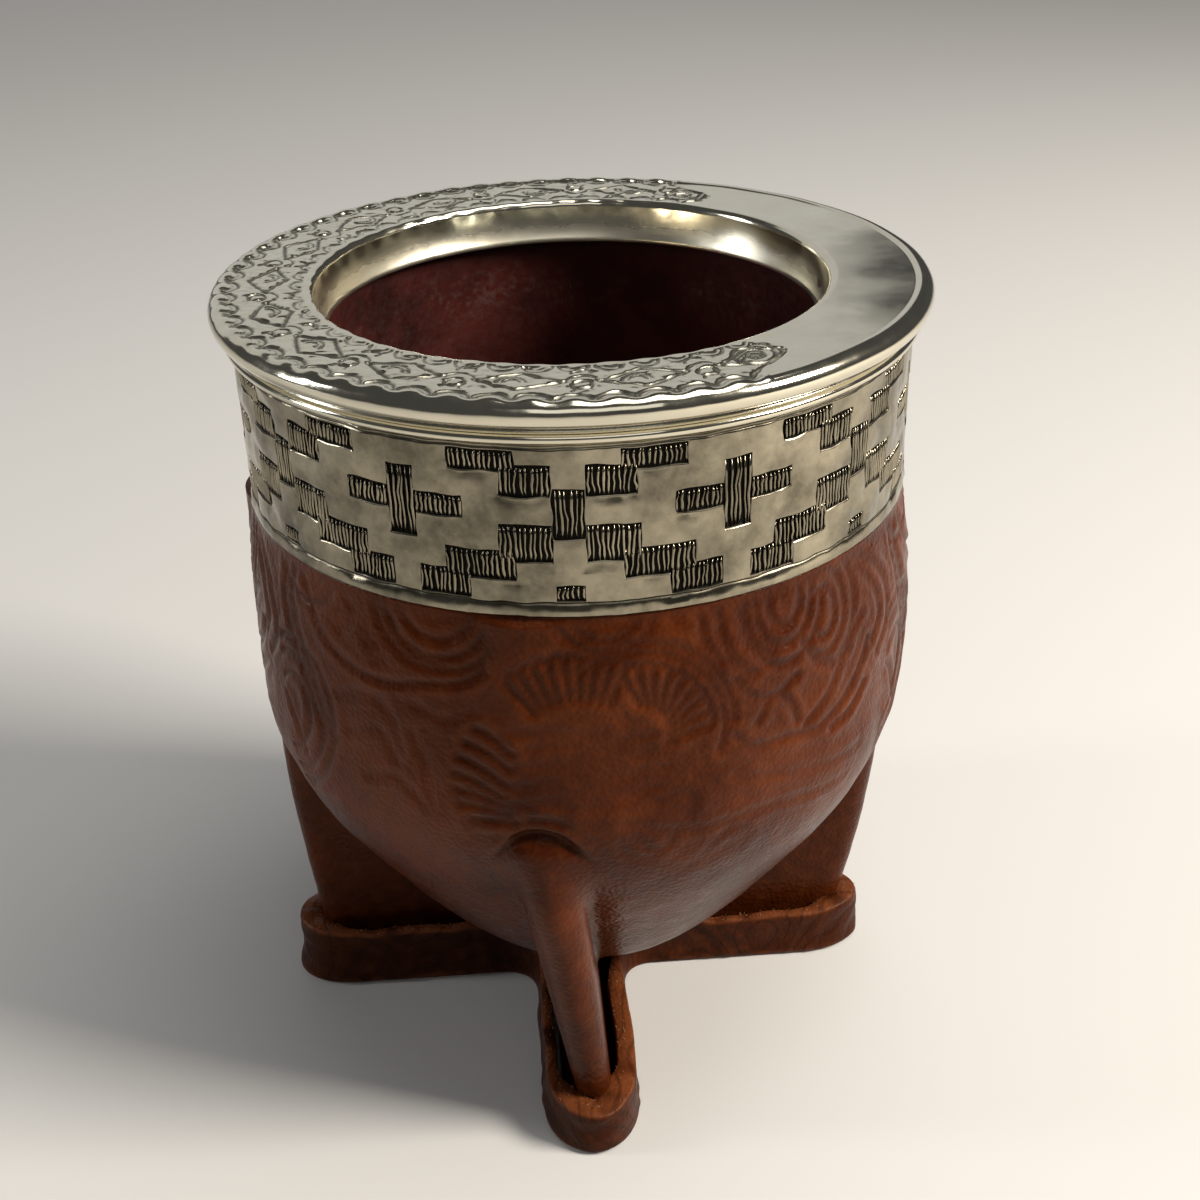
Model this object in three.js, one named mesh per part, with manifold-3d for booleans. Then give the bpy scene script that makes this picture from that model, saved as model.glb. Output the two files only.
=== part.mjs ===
// Leather-covered mate cup: a hollow gourd under a metal rim and pattern band,
// a leather cover drawn out into four upright fins, and a cross-shaped foot.
// Millimetres, +Z up, the rim's axis on Z, the foot standing on z = 0.
import * as THREE from 'three';
import { mergeVertices } from 'three/addons/utils/BufferGeometryUtils.js';
import Module from 'manifold-3d';

const wasm = await Module();
wasm.setup();

// Rim and band
const RIM_R = 48.0;
const TOP_Z = 114.8;
const PLATE_Z = 113.8;
const MOUTH_R = 33.0;
const COLLAR_Z = 108.6;
const SHEET = 1.1;
const BAND_R = 45.5;
const BAND_TOP = 109.0;
const BAND_BOTTOM = 86.9;

// Leather-covered body
const BODY_R = 47.1;
const BODY_WIDEST_Z = 59.4;
const BODY_WAIST = -14.0;
const BODY_POINT = 21.5;
const BODY_TOP_Z = 86.5;
const BODY_TOP_R = 46.1;
const LEATHER = 1.8;

// Gourd
const GOURD_WALL = 5.0;
const GOURD_TOP_Z = 112.2;
const GOURD_MOUTH_R = 35.0;

// Fins: reach from the axis at foot and top, and how far each stands to its left there
const FIN_TOP_Z = 58.0;
const FIN_TOP_HALF = 4.1;
const FIN_FOOT_HALF = 2.6;
const FINS = [
  { turn: 0, footReach: 39.6, topReach: 46.9, footSide: 0, topSide: 0 },
  { turn: 90, footReach: 41.4, topReach: 46.9, footSide: 2.8, topSide: 0 },
  { turn: 180, footReach: 43.2, topReach: 46.9, footSide: 0, topSide: 0 },
  { turn: 270, footReach: 41.6, topReach: 45.6, footSide: -3.1, topSide: -9.2 },
];

// Cross foot
const FOOT_SHIFT = -2.8;
const TOE_R = [46.4, 45.9, 44.6, 45.9];
const TOE_CAP = 9.5;
const ARM_HALF = 6.5;
const CROTCH = 5.5;
const STRIP = 2.0;
const STRIP_H = [7.4, 8.0, 9.6, 6.8];
const FLARE = 0.5;
const SOLE = 2.2;

const CLEAR = 0.3;
const AROUND = 56;

const metal = new THREE.MeshStandardMaterial({ color: 0x9c998c, roughness: 0.28, metalness: 1 });
const darkMetal = new THREE.MeshStandardMaterial({ color: 0x7d7a6f, roughness: 0.36, metalness: 1 });
const gourdSkin = new THREE.MeshStandardMaterial({ color: 0x3c1710, roughness: 0.7, metalness: 0 });
const leather = new THREE.MeshStandardMaterial({ color: 0x5c2c1b, roughness: 0.45, metalness: 0 });
const footLeather = new THREE.MeshStandardMaterial({ color: 0x6b3721, roughness: 0.6, metalness: 0 });

// Closed profile of [radius, height] pairs turned about Z.
function turned(profile, around = AROUND) {
  const points = profile.map(([r, z]) => new THREE.Vector2(r, z));
  const onAxis = points[0].x === 0 && points[points.length - 1].x === 0;
  if (!onAxis) {
    points.push(points[0].clone());
  }
  const shape = new THREE.LatheGeometry(points, around);
  shape.rotateX(Math.PI / 2);
  return shape;
}

function welded(geometry) {
  const bare = geometry.clone();
  bare.deleteAttribute('normal');
  bare.deleteAttribute('uv');
  return mergeVertices(bare, 1e-4);
}

function toSolid(geometry) {
  const mesh = welded(geometry);
  return new wasm.Manifold(new wasm.Mesh({
    numProp: 3,
    vertProperties: new Float32Array(mesh.attributes.position.array),
    triVerts: new Uint32Array(mesh.index.array),
  }));
}

function toGeometry(solid) {
  const mesh = solid.getMesh();
  const shape = new THREE.BufferGeometry();
  shape.setAttribute('position', new THREE.BufferAttribute(new Float32Array(mesh.vertProperties), 3));
  shape.setIndex(Array.from(mesh.triVerts));
  return shape;
}

// Rings of equal length stacked into one closed skin, with a cap at either end.
function lofted(rings) {
  const count = rings[0].length;
  const vertices = rings.flat(2);
  const triangles = [];
  for (let k = 0; k + 1 < rings.length; k += 1) {
    for (let i = 0; i < count; i += 1) {
      const a = k * count + i;
      const b = k * count + ((i + 1) % count);
      triangles.push(a, b, b + count, a, b + count, a + count);
    }
  }
  const last = (rings.length - 1) * count;
  for (let i = 1; i + 1 < count; i += 1) {
    triangles.push(0, i + 1, i);
    triangles.push(last, last + i, last + i + 1);
  }
  const shape = new THREE.BufferGeometry();
  shape.setAttribute('position', new THREE.Float32BufferAttribute(vertices, 3));
  shape.setIndex(triangles);
  return shape;
}

// The body's outline moved inward by a depth, from the axis at the bottom to its top edge.
// Below the widest level it is a polar curve about that level's centre.
function bodyOutline(depth, steps) {
  const outline = [];
  for (let i = 0; i <= steps; i += 1) {
    const down = Math.PI / 2 * (1 - i / steps);
    const sin2 = Math.sin(down) ** 2;
    const reach = BODY_R - depth + BODY_WAIST * sin2 + BODY_POINT * sin2 * sin2;
    const r = i === 0 ? 0 : reach * Math.cos(down);
    outline.push([r, BODY_WIDEST_Z - reach * Math.sin(down)]);
  }
  for (const up of [0.3, 0.55, 0.8, 1]) {
    const z = BODY_WIDEST_Z + (BODY_TOP_Z - BODY_WIDEST_Z) * up;
    outline.push([BODY_R - depth - (BODY_R - BODY_TOP_R) * up * up, z]);
  }
  return outline;
}

function rimProfile() {
  const profile = [
    [MOUTH_R, COLLAR_Z],
    [MOUTH_R + 0.2, TOP_Z - 2.6],
    [MOUTH_R + 0.7, TOP_Z - 1.0],
    [MOUTH_R + 1.6, TOP_Z - 0.2],
    [MOUTH_R + 2.4, TOP_Z - 0.1],
    [MOUTH_R + 3.6, PLATE_Z + 0.2],
    [(MOUTH_R + RIM_R) / 2, PLATE_Z - 0.1],
    [RIM_R - 2.7, PLATE_Z],
  ];
  const beadR = 1.7;
  const beadZ = TOP_Z - beadR;
  for (let i = 0; i <= 7; i += 1) {
    const turn = (130 - i * 34) * Math.PI / 180;
    profile.push([RIM_R - beadR + beadR * Math.cos(turn), beadZ + beadR * Math.sin(turn)]);
  }
  profile.push([BAND_R + 0.4, BAND_TOP + 1.9]);
  profile.push([BAND_R + 0.9, BAND_TOP + 1.4]);
  profile.push([BAND_R + 1.1, BAND_TOP + 0.9]);
  profile.push([BAND_R + 0.8, BAND_TOP + CLEAR]);
  profile.push([BAND_R - SHEET, BAND_TOP + CLEAR]);
  profile.push([BAND_R - SHEET, PLATE_Z - SHEET]);
  profile.push([MOUTH_R + SHEET + 0.6, PLATE_Z - SHEET]);
  profile.push([MOUTH_R + SHEET, COLLAR_Z]);
  return profile.reverse();
}

function bandProfile() {
  return [
    [BAND_R - SHEET, BAND_BOTTOM],
    [BAND_R - SHEET, BAND_TOP],
    [BAND_R, BAND_TOP],
    [BAND_R, BAND_BOTTOM + 1.9],
    [BAND_R + 0.15, BAND_BOTTOM + 0.4],
    [BAND_R - 0.2, BAND_BOTTOM],
  ].reverse();
}

function gourdProfile() {
  const outer = bodyOutline(LEATHER + CLEAR, 9);
  const edge = BAND_R - SHEET - CLEAR;
  outer[outer.length - 1][0] = Math.min(outer[outer.length - 1][0], edge);
  outer.push([edge, GOURD_TOP_Z]);
  const inner = bodyOutline(LEATHER + CLEAR + GOURD_WALL, 8).reverse();
  inner[0][0] -= 0.6;
  return [...outer, [GOURD_MOUTH_R, GOURD_TOP_Z], [GOURD_MOUTH_R, COLLAR_Z - 3], ...inner];
}

// One level of a fin: from the body's axis out to a rounded nose, along +X.
function finLevel(fin, z) {
  const up = (z - SOLE) / (FIN_TOP_Z - SOLE);
  const reach = fin.footReach + (fin.topReach - fin.footReach) * (1 - (1 - up) ** 2);
  const side = fin.footSide + (fin.topSide - fin.footSide) * up;
  const half = FIN_FOOT_HALF + (FIN_TOP_HALF - FIN_FOOT_HALF) * Math.sqrt(up);
  const ring = [[-1, side - half * 0.8, z], [reach - half, side - half, z]];
  for (const degrees of [-60, -30, 0, 30, 60]) {
    const a = degrees * Math.PI / 180;
    ring.push([reach - half + half * Math.cos(a), side + half * Math.sin(a), z]);
  }
  ring.push([reach - half, side + half, z], [-1, side + half * 0.8, z]);
  return ring;
}

function finSolid(fin) {
  const levels = [SOLE + CLEAR, 8, 14, 20, 27, 34, 41, 48, FIN_TOP_Z];
  const shape = lofted(levels.map((z) => finLevel(fin, z)));
  shape.rotateZ(fin.turn * Math.PI / 180);
  return toSolid(shape);
}

function coverGeometry() {
  const outside = [...bodyOutline(0, 11), [0, BODY_TOP_Z]];
  let solid = toSolid(turned(outside));
  for (const fin of FINS) {
    solid = solid.add(finSolid(fin));
  }
  const inside = bodyOutline(LEATHER, 9);
  const topR = inside[inside.length - 1][0];
  inside.push([topR, BODY_TOP_Z + 2], [0, BODY_TOP_Z + 2]);
  return toGeometry(solid.subtract(toSolid(turned(inside))));
}

// Cross outline moved inward, anticlockwise from the +X arm.
function crossOutline(inset) {
  const half = ARM_HALF - inset;
  const cap = TOE_CAP - inset * 0.5;
  const round = CROTCH + inset;
  const points = [];
  for (let arm = 0; arm < 4; arm += 1) {
    const cos = Math.cos(arm * Math.PI / 2);
    const sin = Math.sin(arm * Math.PI / 2);
    const tip = TOE_R[arm] - inset;
    const local = [[half + round, -half], [tip - cap, -half]];
    for (let i = 1; i < 8; i += 1) {
      const a = -Math.PI / 2 + (i / 8) * Math.PI;
      local.push([tip - cap + cap * Math.cos(a), half * Math.sin(a)]);
    }
    local.push([tip - cap, half], [half + round, half]);
    for (const a of [-112.5, -135, -157.5]) {
      const turn = a * Math.PI / 180;
      local.push([half + round + round * Math.cos(turn), half + round + round * Math.sin(turn)]);
    }
    for (const [x, y] of local) {
      points.push([x * cos - y * sin + FOOT_SHIFT, x * sin + y * cos]);
    }
  }
  return points;
}

// Height of the body's underside at a distance from its axis.
function bodyFloor(distance) {
  const r = Math.min(distance, BODY_R - 1);
  const outline = bodyOutline(0, 60);
  const next = outline.findIndex(([reach]) => reach > r);
  const [lowR, lowZ] = outline[next - 1];
  const [highR, highZ] = outline[next];
  return lowZ + (highZ - lowZ) * (r - lowR) / (highR - lowR);
}

// Strip height by direction, easing from one arm to the next and dipping under the body.
function stripHeight(x, y) {
  const turn = Math.atan2(y, x - FOOT_SHIFT) / (Math.PI / 2);
  const from = Math.floor(turn);
  const part = turn - from;
  const ease = part * part * (3 - 2 * part);
  const low = STRIP_H[(from + 4) % 4];
  const high = STRIP_H[(from + 5) % 4];
  return Math.min(low + (high - low) * ease, bodyFloor(Math.hypot(x, y)) - 2 * CLEAR);
}

function stripGeometry() {
  const outer = crossOutline(0);
  const flared = crossOutline(-FLARE);
  const inner = crossOutline(STRIP);
  const count = outer.length;
  const rings = [
    flared.map(([x, y]) => [x, y, 0]),
    flared.map(([x, y]) => [x, y, 1.2]),
    outer.map(([x, y]) => [x, y, stripHeight(x, y)]),
    inner.map(([x, y]) => [x, y, stripHeight(x, y)]),
    inner.map(([x, y]) => [x, y, 0]),
  ];
  const triangles = [];
  for (let k = 0; k < rings.length; k += 1) {
    const here = k * count;
    const next = ((k + 1) % rings.length) * count;
    for (let i = 0; i < count; i += 1) {
      const j = (i + 1) % count;
      triangles.push(here + i, here + j, next + j, here + i, next + j, next + i);
    }
  }
  const shape = new THREE.BufferGeometry();
  shape.setAttribute('position', new THREE.Float32BufferAttribute(rings.flat(2), 3));
  shape.setIndex(triangles);
  return shape;
}

function soleGeometry() {
  const outline = crossOutline(STRIP + CLEAR).map(([x, y]) => new THREE.Vector2(x, y));
  return new THREE.ExtrudeGeometry(new THREE.Shape(outline), { depth: SOLE, bevelEnabled: false });
}

const cup = new THREE.Group();

function addPiece(name, geometry, material) {
  const piece = new THREE.Mesh(geometry, material);
  piece.name = name;
  cup.add(piece);
}

addPiece('rim', turned(rimProfile(), 64), metal);
addPiece('pattern_band', turned(bandProfile(), 64), darkMetal);
addPiece('gourd', turned(gourdProfile()), gourdSkin);
addPiece('leather_cover', coverGeometry(), leather);
addPiece('foot_strip', stripGeometry(), footLeather);
addPiece('sole', soleGeometry(), footLeather);

export default cup;
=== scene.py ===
# %% [markdown]
# # A leather-covered mate cup
# A mate cup holds a drink that is sipped through a metal straw. This one is empty: a hollow gourd
# under a turned metal rim, a hand-cut metal band, a leather cover drawn out into four upright fins,
# and a leather strip that binds the cross-shaped foot.
# The solids come in first as a fixed frame. Each one is then dressed with a finer piece that
# follows the same sizes, so nothing has to be fitted by eye.

# %% The frame and its box
import math
from collections import namedtuple

import bpy
import numpy as np
from mathutils import Matrix, Vector


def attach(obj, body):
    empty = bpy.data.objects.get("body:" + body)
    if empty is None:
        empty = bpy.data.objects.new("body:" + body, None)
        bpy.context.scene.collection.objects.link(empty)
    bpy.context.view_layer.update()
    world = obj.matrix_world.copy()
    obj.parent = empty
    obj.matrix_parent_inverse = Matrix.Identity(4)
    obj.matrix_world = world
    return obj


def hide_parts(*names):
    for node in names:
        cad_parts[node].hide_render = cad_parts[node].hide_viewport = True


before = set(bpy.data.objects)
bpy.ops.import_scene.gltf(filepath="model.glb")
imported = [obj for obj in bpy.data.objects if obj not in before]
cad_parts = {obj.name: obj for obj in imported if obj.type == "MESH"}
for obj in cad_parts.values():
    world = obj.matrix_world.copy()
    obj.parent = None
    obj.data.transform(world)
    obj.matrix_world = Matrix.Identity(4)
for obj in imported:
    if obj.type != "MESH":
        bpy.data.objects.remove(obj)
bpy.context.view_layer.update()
MM = 0.001

# %% [markdown]
# ## A few small tools
# Nearly every piece here is a skin of rings: the rim is turned, the cover is moulded, the foot strip
# runs round. A skin can be drawn by hand with Spin or Bridge Edge Loops, but an array of ring points
# lets each ring carry its own hand-made wobble. Rings that climb on the outside give outward faces.

# %% Rings into a mesh
def ring_faces(rings, around, first=0, closed=False):
    """Four-sided faces between neighbouring rings of equal length."""
    index = first + np.arange(rings * around).reshape(rings, around)
    below = index if closed else index[:-1]
    above = np.roll(index, -1, 0) if closed else index[1:]
    corners = [below, np.roll(below, -1, 1), np.roll(above, -1, 1), above]
    return np.stack(corners, -1).reshape(-1, 4).tolist()


def skin_piece(name, points_mm, faces, finish, marks=None):
    """A smooth mesh object from points in millimetres, with a value per point for its finish."""
    mesh = bpy.data.meshes.new(name)
    mesh.from_pydata((np.asarray(points_mm).reshape(-1, 3) * MM).tolist(), [], faces)
    for mark, values in (marks or {}).items():
        layer = mesh.attributes.new(mark, "FLOAT", "POINT")
        layer.data.foreach_set("value", np.asarray(values, np.float32).ravel())
    mesh.shade_smooth()
    mesh.materials.append(finish)
    piece = bpy.data.objects.new(name, mesh)
    bpy.context.collection.objects.link(piece)
    print(name, "has", len(mesh.vertices), "points and", len(mesh.polygons), "faces")
    return piece


# %% Uneven hand work and soft steps
WAVES, WAVES_TO_ONE = 10, 3.2


def hand_wobble(points, length, seed):
    """A smooth random value of about -1 to 1 at each point, with bumps of about that length."""
    chance = np.random.default_rng(seed)
    total = np.zeros(points.shape[:-1])
    for _ in range(WAVES):
        way = chance.normal(size=3)
        way *= 2 * math.pi / length * chance.uniform(0.6, 1.4) / np.linalg.norm(way)
        total += np.sin(points @ way + chance.uniform(0, 2 * math.pi))
    return total / WAVES_TO_ONE


def eased(value, start, end):
    """0 before start, 1 after end, smooth in between. Start may be the larger one."""
    part = np.clip((value - start) / (end - start), 0, 1)
    return part * part * (3 - 2 * part)


def crest(distance, width):
    """1 where the distance is 0, fading away beyond the width."""
    return np.exp(-(distance / width) ** 2)


# %% Nodes for finishes and for Geometry Nodes
def add_node(tree, kind, settings=None, **inputs):
    """A node with its settings, and its inputs set or linked by name, or by number as n0, n1."""
    node = tree.nodes.new(kind)
    for key, value in (settings or {}).items():
        setattr(node, key, value)
    for key, value in inputs.items():
        numbered = key[0] == "n" and key[1:].isdigit()
        socket = node.inputs[int(key[1:])] if numbered else node.inputs[key.replace("_", " ")]
        if isinstance(value, bpy.types.NodeSocket):
            tree.links.new(value, socket)
        else:
            socket.default_value = value
    return node


def calc(tree, operation, a, b=0.0):
    return add_node(tree, "ShaderNodeMath", {"operation": operation}, n0=a, n1=b).outputs[0]


def times(tree, a, b):
    return calc(tree, "MULTIPLY", a, b)


def plus(tree, a, b):
    return calc(tree, "ADD", a, b)


# %% Helpers for finishes
def new_finish(name):
    finish = bpy.data.materials.new(name)
    finish.use_nodes = True
    return finish, finish.node_tree, finish.node_tree.nodes["Principled BSDF"]


def blend_colour(tree, amount, a, b):
    mix = add_node(tree, "ShaderNodeMix", {"data_type": "RGBA"}, n0=amount, n6=a, n7=b)
    return mix.outputs[2]


def darker(colour, share):
    return tuple(share * v for v in colour[:3]) + (1,)


def spread(tree, value, low, high, to_low, to_high):
    node = add_node(tree, "ShaderNodeMapRange", None, n0=value, n1=low, n2=high, n3=to_low, n4=to_high)
    return node.outputs[0]


def own_place(tree):
    """The point's place on the piece, in metres."""
    return add_node(tree, "ShaderNodeTexCoord").outputs["Object"]


def mottle(tree, scale, detail=4.0, roughness=0.55):
    node = add_node(tree, "ShaderNodeTexNoise", None, Vector=own_place(tree), Scale=scale, Detail=detail,
                    Roughness=roughness)
    return node.outputs[0]


def mark_of(tree, name):
    return add_node(tree, "ShaderNodeAttribute", {"attribute_name": name}).outputs["Fac"]


def raise_grain(tree, skin, relief, strength, depth):
    bump = add_node(tree, "ShaderNodeBump", None, Strength=strength, Distance=depth, Height=relief)
    tree.links.new(bump.outputs[0], skin.inputs["Normal"])


# %% [markdown]
# ## Metal with black in its cuts
# Rim and band are of a pale, slightly warm alloy. The band's colours are set darker than the rim's, a
# painted dark reflection. The cuts were blackened and the high places rubbed bright again. A picture
# could paint that, but each point of the mesh already knows how deep it was cut: the mark "patina"
# carries that depth to the shader, which goes dark and dull there.

# %% Metal finishes
BLACK_PATINA = (0.012, 0.011, 0.009, 1)


def worn_metal(name, bright, dull, shine, patina_reach, dents):
    """Cloudy metal. The marks "patina" and "brushed" make it black and dull, or only dull."""
    finish, tree, skin = new_finish(name)
    cloud = mottle(tree, 120.0, 7.0, 0.68)
    streak = mottle(tree, 320.0, 3.0)
    patina = spread(tree, mark_of(tree, "patina"), 0.08, patina_reach, 0.0, 1.0)
    tone = blend_colour(tree, spread(tree, cloud, 0.36, 0.64, 0.0, 1.0), bright, dull)
    tree.links.new(blend_colour(tree, patina, tone, BLACK_PATINA), skin.inputs["Base Color"])
    skin.inputs["Metallic"].default_value = 1.0
    rough = spread(tree, streak, 0.3, 0.7, shine, shine + 0.07)
    rough = plus(tree, rough, times(tree, mark_of(tree, "brushed"), 0.2))
    rough = plus(tree, rough, times(tree, patina, 0.4))
    tree.links.new(rough, skin.inputs["Roughness"])
    raise_grain(tree, skin, plus(tree, cloud, times(tree, streak, 0.06)), dents, 0.0002)
    return finish


rim_metal = worn_metal("rim_metal", (0.72, 0.675, 0.54, 1), (0.66, 0.615, 0.485, 1), 0.1, 0.95, 0.015)
# Painted reflection: the band's colours are darker than the rim's, standing in for the dark room it
# reflects.
band_metal = worn_metal("band_metal", (0.36, 0.319, 0.232, 1), (0.14, 0.124, 0.089, 1), 0.15, 0.7, 0.08)
print("metal finishes:", rim_metal.name, band_metal.name)

# %% [markdown]
# ## Leather
# The cover is vegetable-tanned leather, wet-moulded and tooled, then dyed red-brown and waxed. Dye
# gathers in the tooled lines and rubs off the ridges, so the mark "tooling" shifts its colour both
# ways; on the cover that mark also paints shade into the folds above the fins. Towards the foot the
# colour is painted darker, a painted shade, and the foot's own colours are set darker too, partly
# painted shade. Thin dark lines run through it like contour lines on a map: they are the sine of a
# slow noise. The pebbled grain is finer than any sensible mesh, so that alone is a bump.

# %% Leather finishes
def dyed_leather(name, deep, warm, worn, gloss, lines_shown):
    finish, tree, skin = new_finish(name)
    place = own_place(tree)
    cloud = mottle(tree, 45.0, 5.0, 0.6)
    fine = mottle(tree, 420.0, 4.0, 0.6)
    pebble = add_node(tree, "ShaderNodeTexVoronoi", {"feature": "SMOOTH_F1"}, Vector=place,
                      Scale=1500.0, Smoothness=0.6).outputs[0]
    tone = blend_colour(tree, spread(tree, cloud, 0.34, 0.66, 0.0, 1.0), deep, warm)
    height = add_node(tree, "ShaderNodeSeparateXYZ", None, Vector=place).outputs["Z"]
    # Painted shade: the colour darkens towards the foot, where the cup stands in shade.
    painted_shade_near_foot = spread(tree, height, 0.050, 0.004, 0.0, 0.5)
    tone = blend_colour(tree, painted_shade_near_foot, tone, darker(deep, 0.3))
    tone = blend_colour(tree, spread(tree, fine, 0.45, 0.8, 0.0, 0.22), tone, worn)
    tooled = mark_of(tree, "tooling")
    tone = blend_colour(tree, spread(tree, tooled, 0.04, 0.6, 0.0, 0.6), tone, worn)
    cut = spread(tree, tooled, -0.1, -1.0, 0.0, 0.45)
    tone = blend_colour(tree, cut, tone, darker(deep, 0.28))
    contours = calc(tree, "SINE", times(tree, mottle(tree, 52.0, 1.0, 0.4), 96.0))
    dark_line = spread(tree, contours, -0.55, -1.0, 0.0, lines_shown)
    tone = blend_colour(tree, dark_line, tone, darker(deep, 0.35))
    tree.links.new(tone, skin.inputs["Base Color"])
    rough = plus(tree, spread(tree, fine, 0.3, 0.7, *gloss), times(tree, cut, 0.12))
    tree.links.new(rough, skin.inputs["Roughness"])
    skin.inputs["Specular IOR Level"].default_value = 0.14
    skin.inputs["Specular Tint"].default_value = (1.0, 0.74, 0.58, 1)
    relief = plus(tree, times(tree, pebble, 0.7), times(tree, fine, 0.6))
    relief = calc(tree, "SUBTRACT", relief, times(tree, dark_line, 0.6))
    raise_grain(tree, skin, relief, 0.3, 0.0004)
    return finish


cover_leather = dyed_leather("cover_leather", (0.036, 0.0060, 0.0013, 1), (0.089, 0.0178, 0.0032, 1),
                             (0.175, 0.044, 0.0092, 1), (0.25, 0.38), 0.12)
# Partly painted shade: the foot's colours are set darker than the cover's, for the shade low on the cup.
foot_leather = dyed_leather("foot_leather", (0.030, 0.0058, 0.0014, 1), (0.068, 0.0134, 0.0026, 1),
                            (0.175, 0.050, 0.016, 1), (0.36, 0.52), 0.42)
print("leather finishes:", cover_leather.name, foot_leather.name)

# %% [markdown]
# ## Gourd skin
# Inside, the dried gourd is dark and reddish. A pale bloom of dried leaf clings to it in specks where
# the mark "dust" allows it, so two noises of different size are multiplied to break it up.

# %% Gourd finish
def dried_gourd(name):
    finish, tree, skin = new_finish(name)
    cloud = mottle(tree, 70.0, 6.0, 0.65)
    speck = mottle(tree, 900.0, 3.0, 0.7)
    tone = blend_colour(tree, spread(tree, cloud, 0.35, 0.68, 0.0, 1.0),
                        (0.020, 0.0036, 0.0026, 1), (0.070, 0.0125, 0.0086, 1))
    specks = spread(tree, times(tree, cloud, speck), 0.27, 0.40, 0.0, 1.0)
    dust = times(tree, mark_of(tree, "dust"), specks)
    tone = blend_colour(tree, dust, tone, (0.14, 0.105, 0.09, 1))
    tree.links.new(tone, skin.inputs["Base Color"])
    tree.links.new(spread(tree, speck, 0.3, 0.7, 0.34, 0.6), skin.inputs["Roughness"])
    raise_grain(tree, skin, cloud, 0.3, 0.0004)
    return finish


gourd_skin = dried_gourd("gourd_skin")
print("gourd finish:", gourd_skin.name)

# %% [markdown]
# ## The rim
# The rim is one turned sheet: a lip and bead round the outside, a flat plate, a rolled inner edge and
# a collar down into the mouth. Two thirds of the plate are engraved, the right part stays plain and
# polished. The engraving is cut into the mesh itself: each point asks how far it lies from the
# nearest cut and sinks by that much, so it catches light from every side.

# %% Rim profile, from the lip outside over the top to the collar
BEAD_R, BEAD_Z, BEAD_ROUND = 46.3, 113.1, 1.7
PLATE_Z, PLATE_MIDDLE, PLATE_DISH = 114.55, 40.4, 0.05


def circle_run(centre_r, centre_z, radius, start, end, count):
    turn = np.radians(np.linspace(start, end, count))
    return [(centre_r + radius * math.cos(a), centre_z + radius * math.sin(a)) for a in turn]


def plate_height(r):
    return PLATE_Z + PLATE_DISH * ((PLATE_MIDDLE - r) / 5.0) ** 2


rim_profile = circle_run(46.0, 109.95, 0.62, -90, 75, 7)
rim_profile += [(45.95, 110.72), (45.84, 111.1)]
rim_profile += circle_run(BEAD_R, BEAD_Z, BEAD_ROUND, -107, 100, 20)
rim_profile += [(45.78, 114.7), (45.6, 114.6)]
rim_profile += [(r, plate_height(r)) for r in np.linspace(45.42, 35.4, 54)]
rim_profile += circle_run(35.2, 113.65, 0.95, 88, 180, 9)
rim_profile += [(34.1, 112.6), (33.9, 111.4), (33.6, 110.2), (33.3, 109.3), (33.0, 108.75)]
rim_profile += [(33.12, 108.6), (34.0, 108.6), (34.75, 110.5), (35.0, 112.7), (40.0, 112.7)]
rim_profile += [(44.4, 112.7), (44.4, 109.33), (45.3, 109.33)]
rim_profile = np.array(rim_profile)
print("rim profile has", len(rim_profile), "points")

# %% [markdown]
# The engraving has rows that run round. Half-moons open towards the bead, smaller ones stand on the
# inner lip, and between them diamonds alternate with eyes. Each row repeats at its own pitch, so the
# angle is folded into one repeat and the distance is measured there, in millimetres. Every row gives
# two things: how high the sheet is raised, and how deep the graver cut.

# %% Half-moons on the bead and on the lip
MOON_PITCH, LIP_PITCH, DIAMOND_PITCH = 5.8, 6.6, 20.3
DIAMOND_SHIFT = -3.0


def folded(angle, pitch, radius, shift=0.0):
    """Distance along the circle from the middle of the nearest repeat, in millimetres."""
    inside = (angle - shift + pitch / 2) % pitch - pitch / 2
    return np.radians(inside) * radius


def cut_line(distance, width, depth):
    return -depth * crest(distance, width)


def bead_moons(angle, r):
    x = folded(angle, MOON_PITCH, 45.5)
    far = np.hypot(x, BEAD_R - r)
    on_edge = eased(r, 46.7, 45.9)
    cuts = (cut_line(far - 2.15, 0.26, 0.22) + cut_line(far - 1.4, 0.2, 0.12)) * on_edge
    raised = 0.1 * np.cos(math.pi * x / 2.3) * crest(r - 46.2, 0.7)
    raised += 0.08 * np.clip(1 - far / 2.0, 0, 1) - 0.1 * crest(far - 1.8, 0.4) * on_edge
    return raised, cuts


def lip_moons(angle, r):
    x = folded(angle, LIP_PITCH, 36.0, 1.3)
    far = np.hypot(x, r - 35.5)
    on_plate = eased(r, 35.4, 35.9)
    cuts = (cut_line(far - 1.75, 0.24, 0.17) + cut_line(far - 1.0, 0.18, 0.1)) * on_plate
    raised = 0.05 * np.cos(math.pi * x / 2.1) * crest(r - 34.7, 0.5)
    return raised - 0.08 * crest(far - 1.4, 0.35) * on_plate, cuts


# %% Diamonds, eyes and the strokes between them
def ground_strokes(angle, r):
    turn = np.radians(angle)
    slow = hand_wobble(np.stack([r * np.cos(turn), r * np.sin(turn), 0 * r], -1), 8.0, 6)
    between_rows = eased(r, 36.6, 37.6) * eased(r, 44.6, 43.8)
    return 0.0, cut_line(0.5 * np.sin(5.6 * slow), 0.16, 0.05) * between_rows


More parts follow.
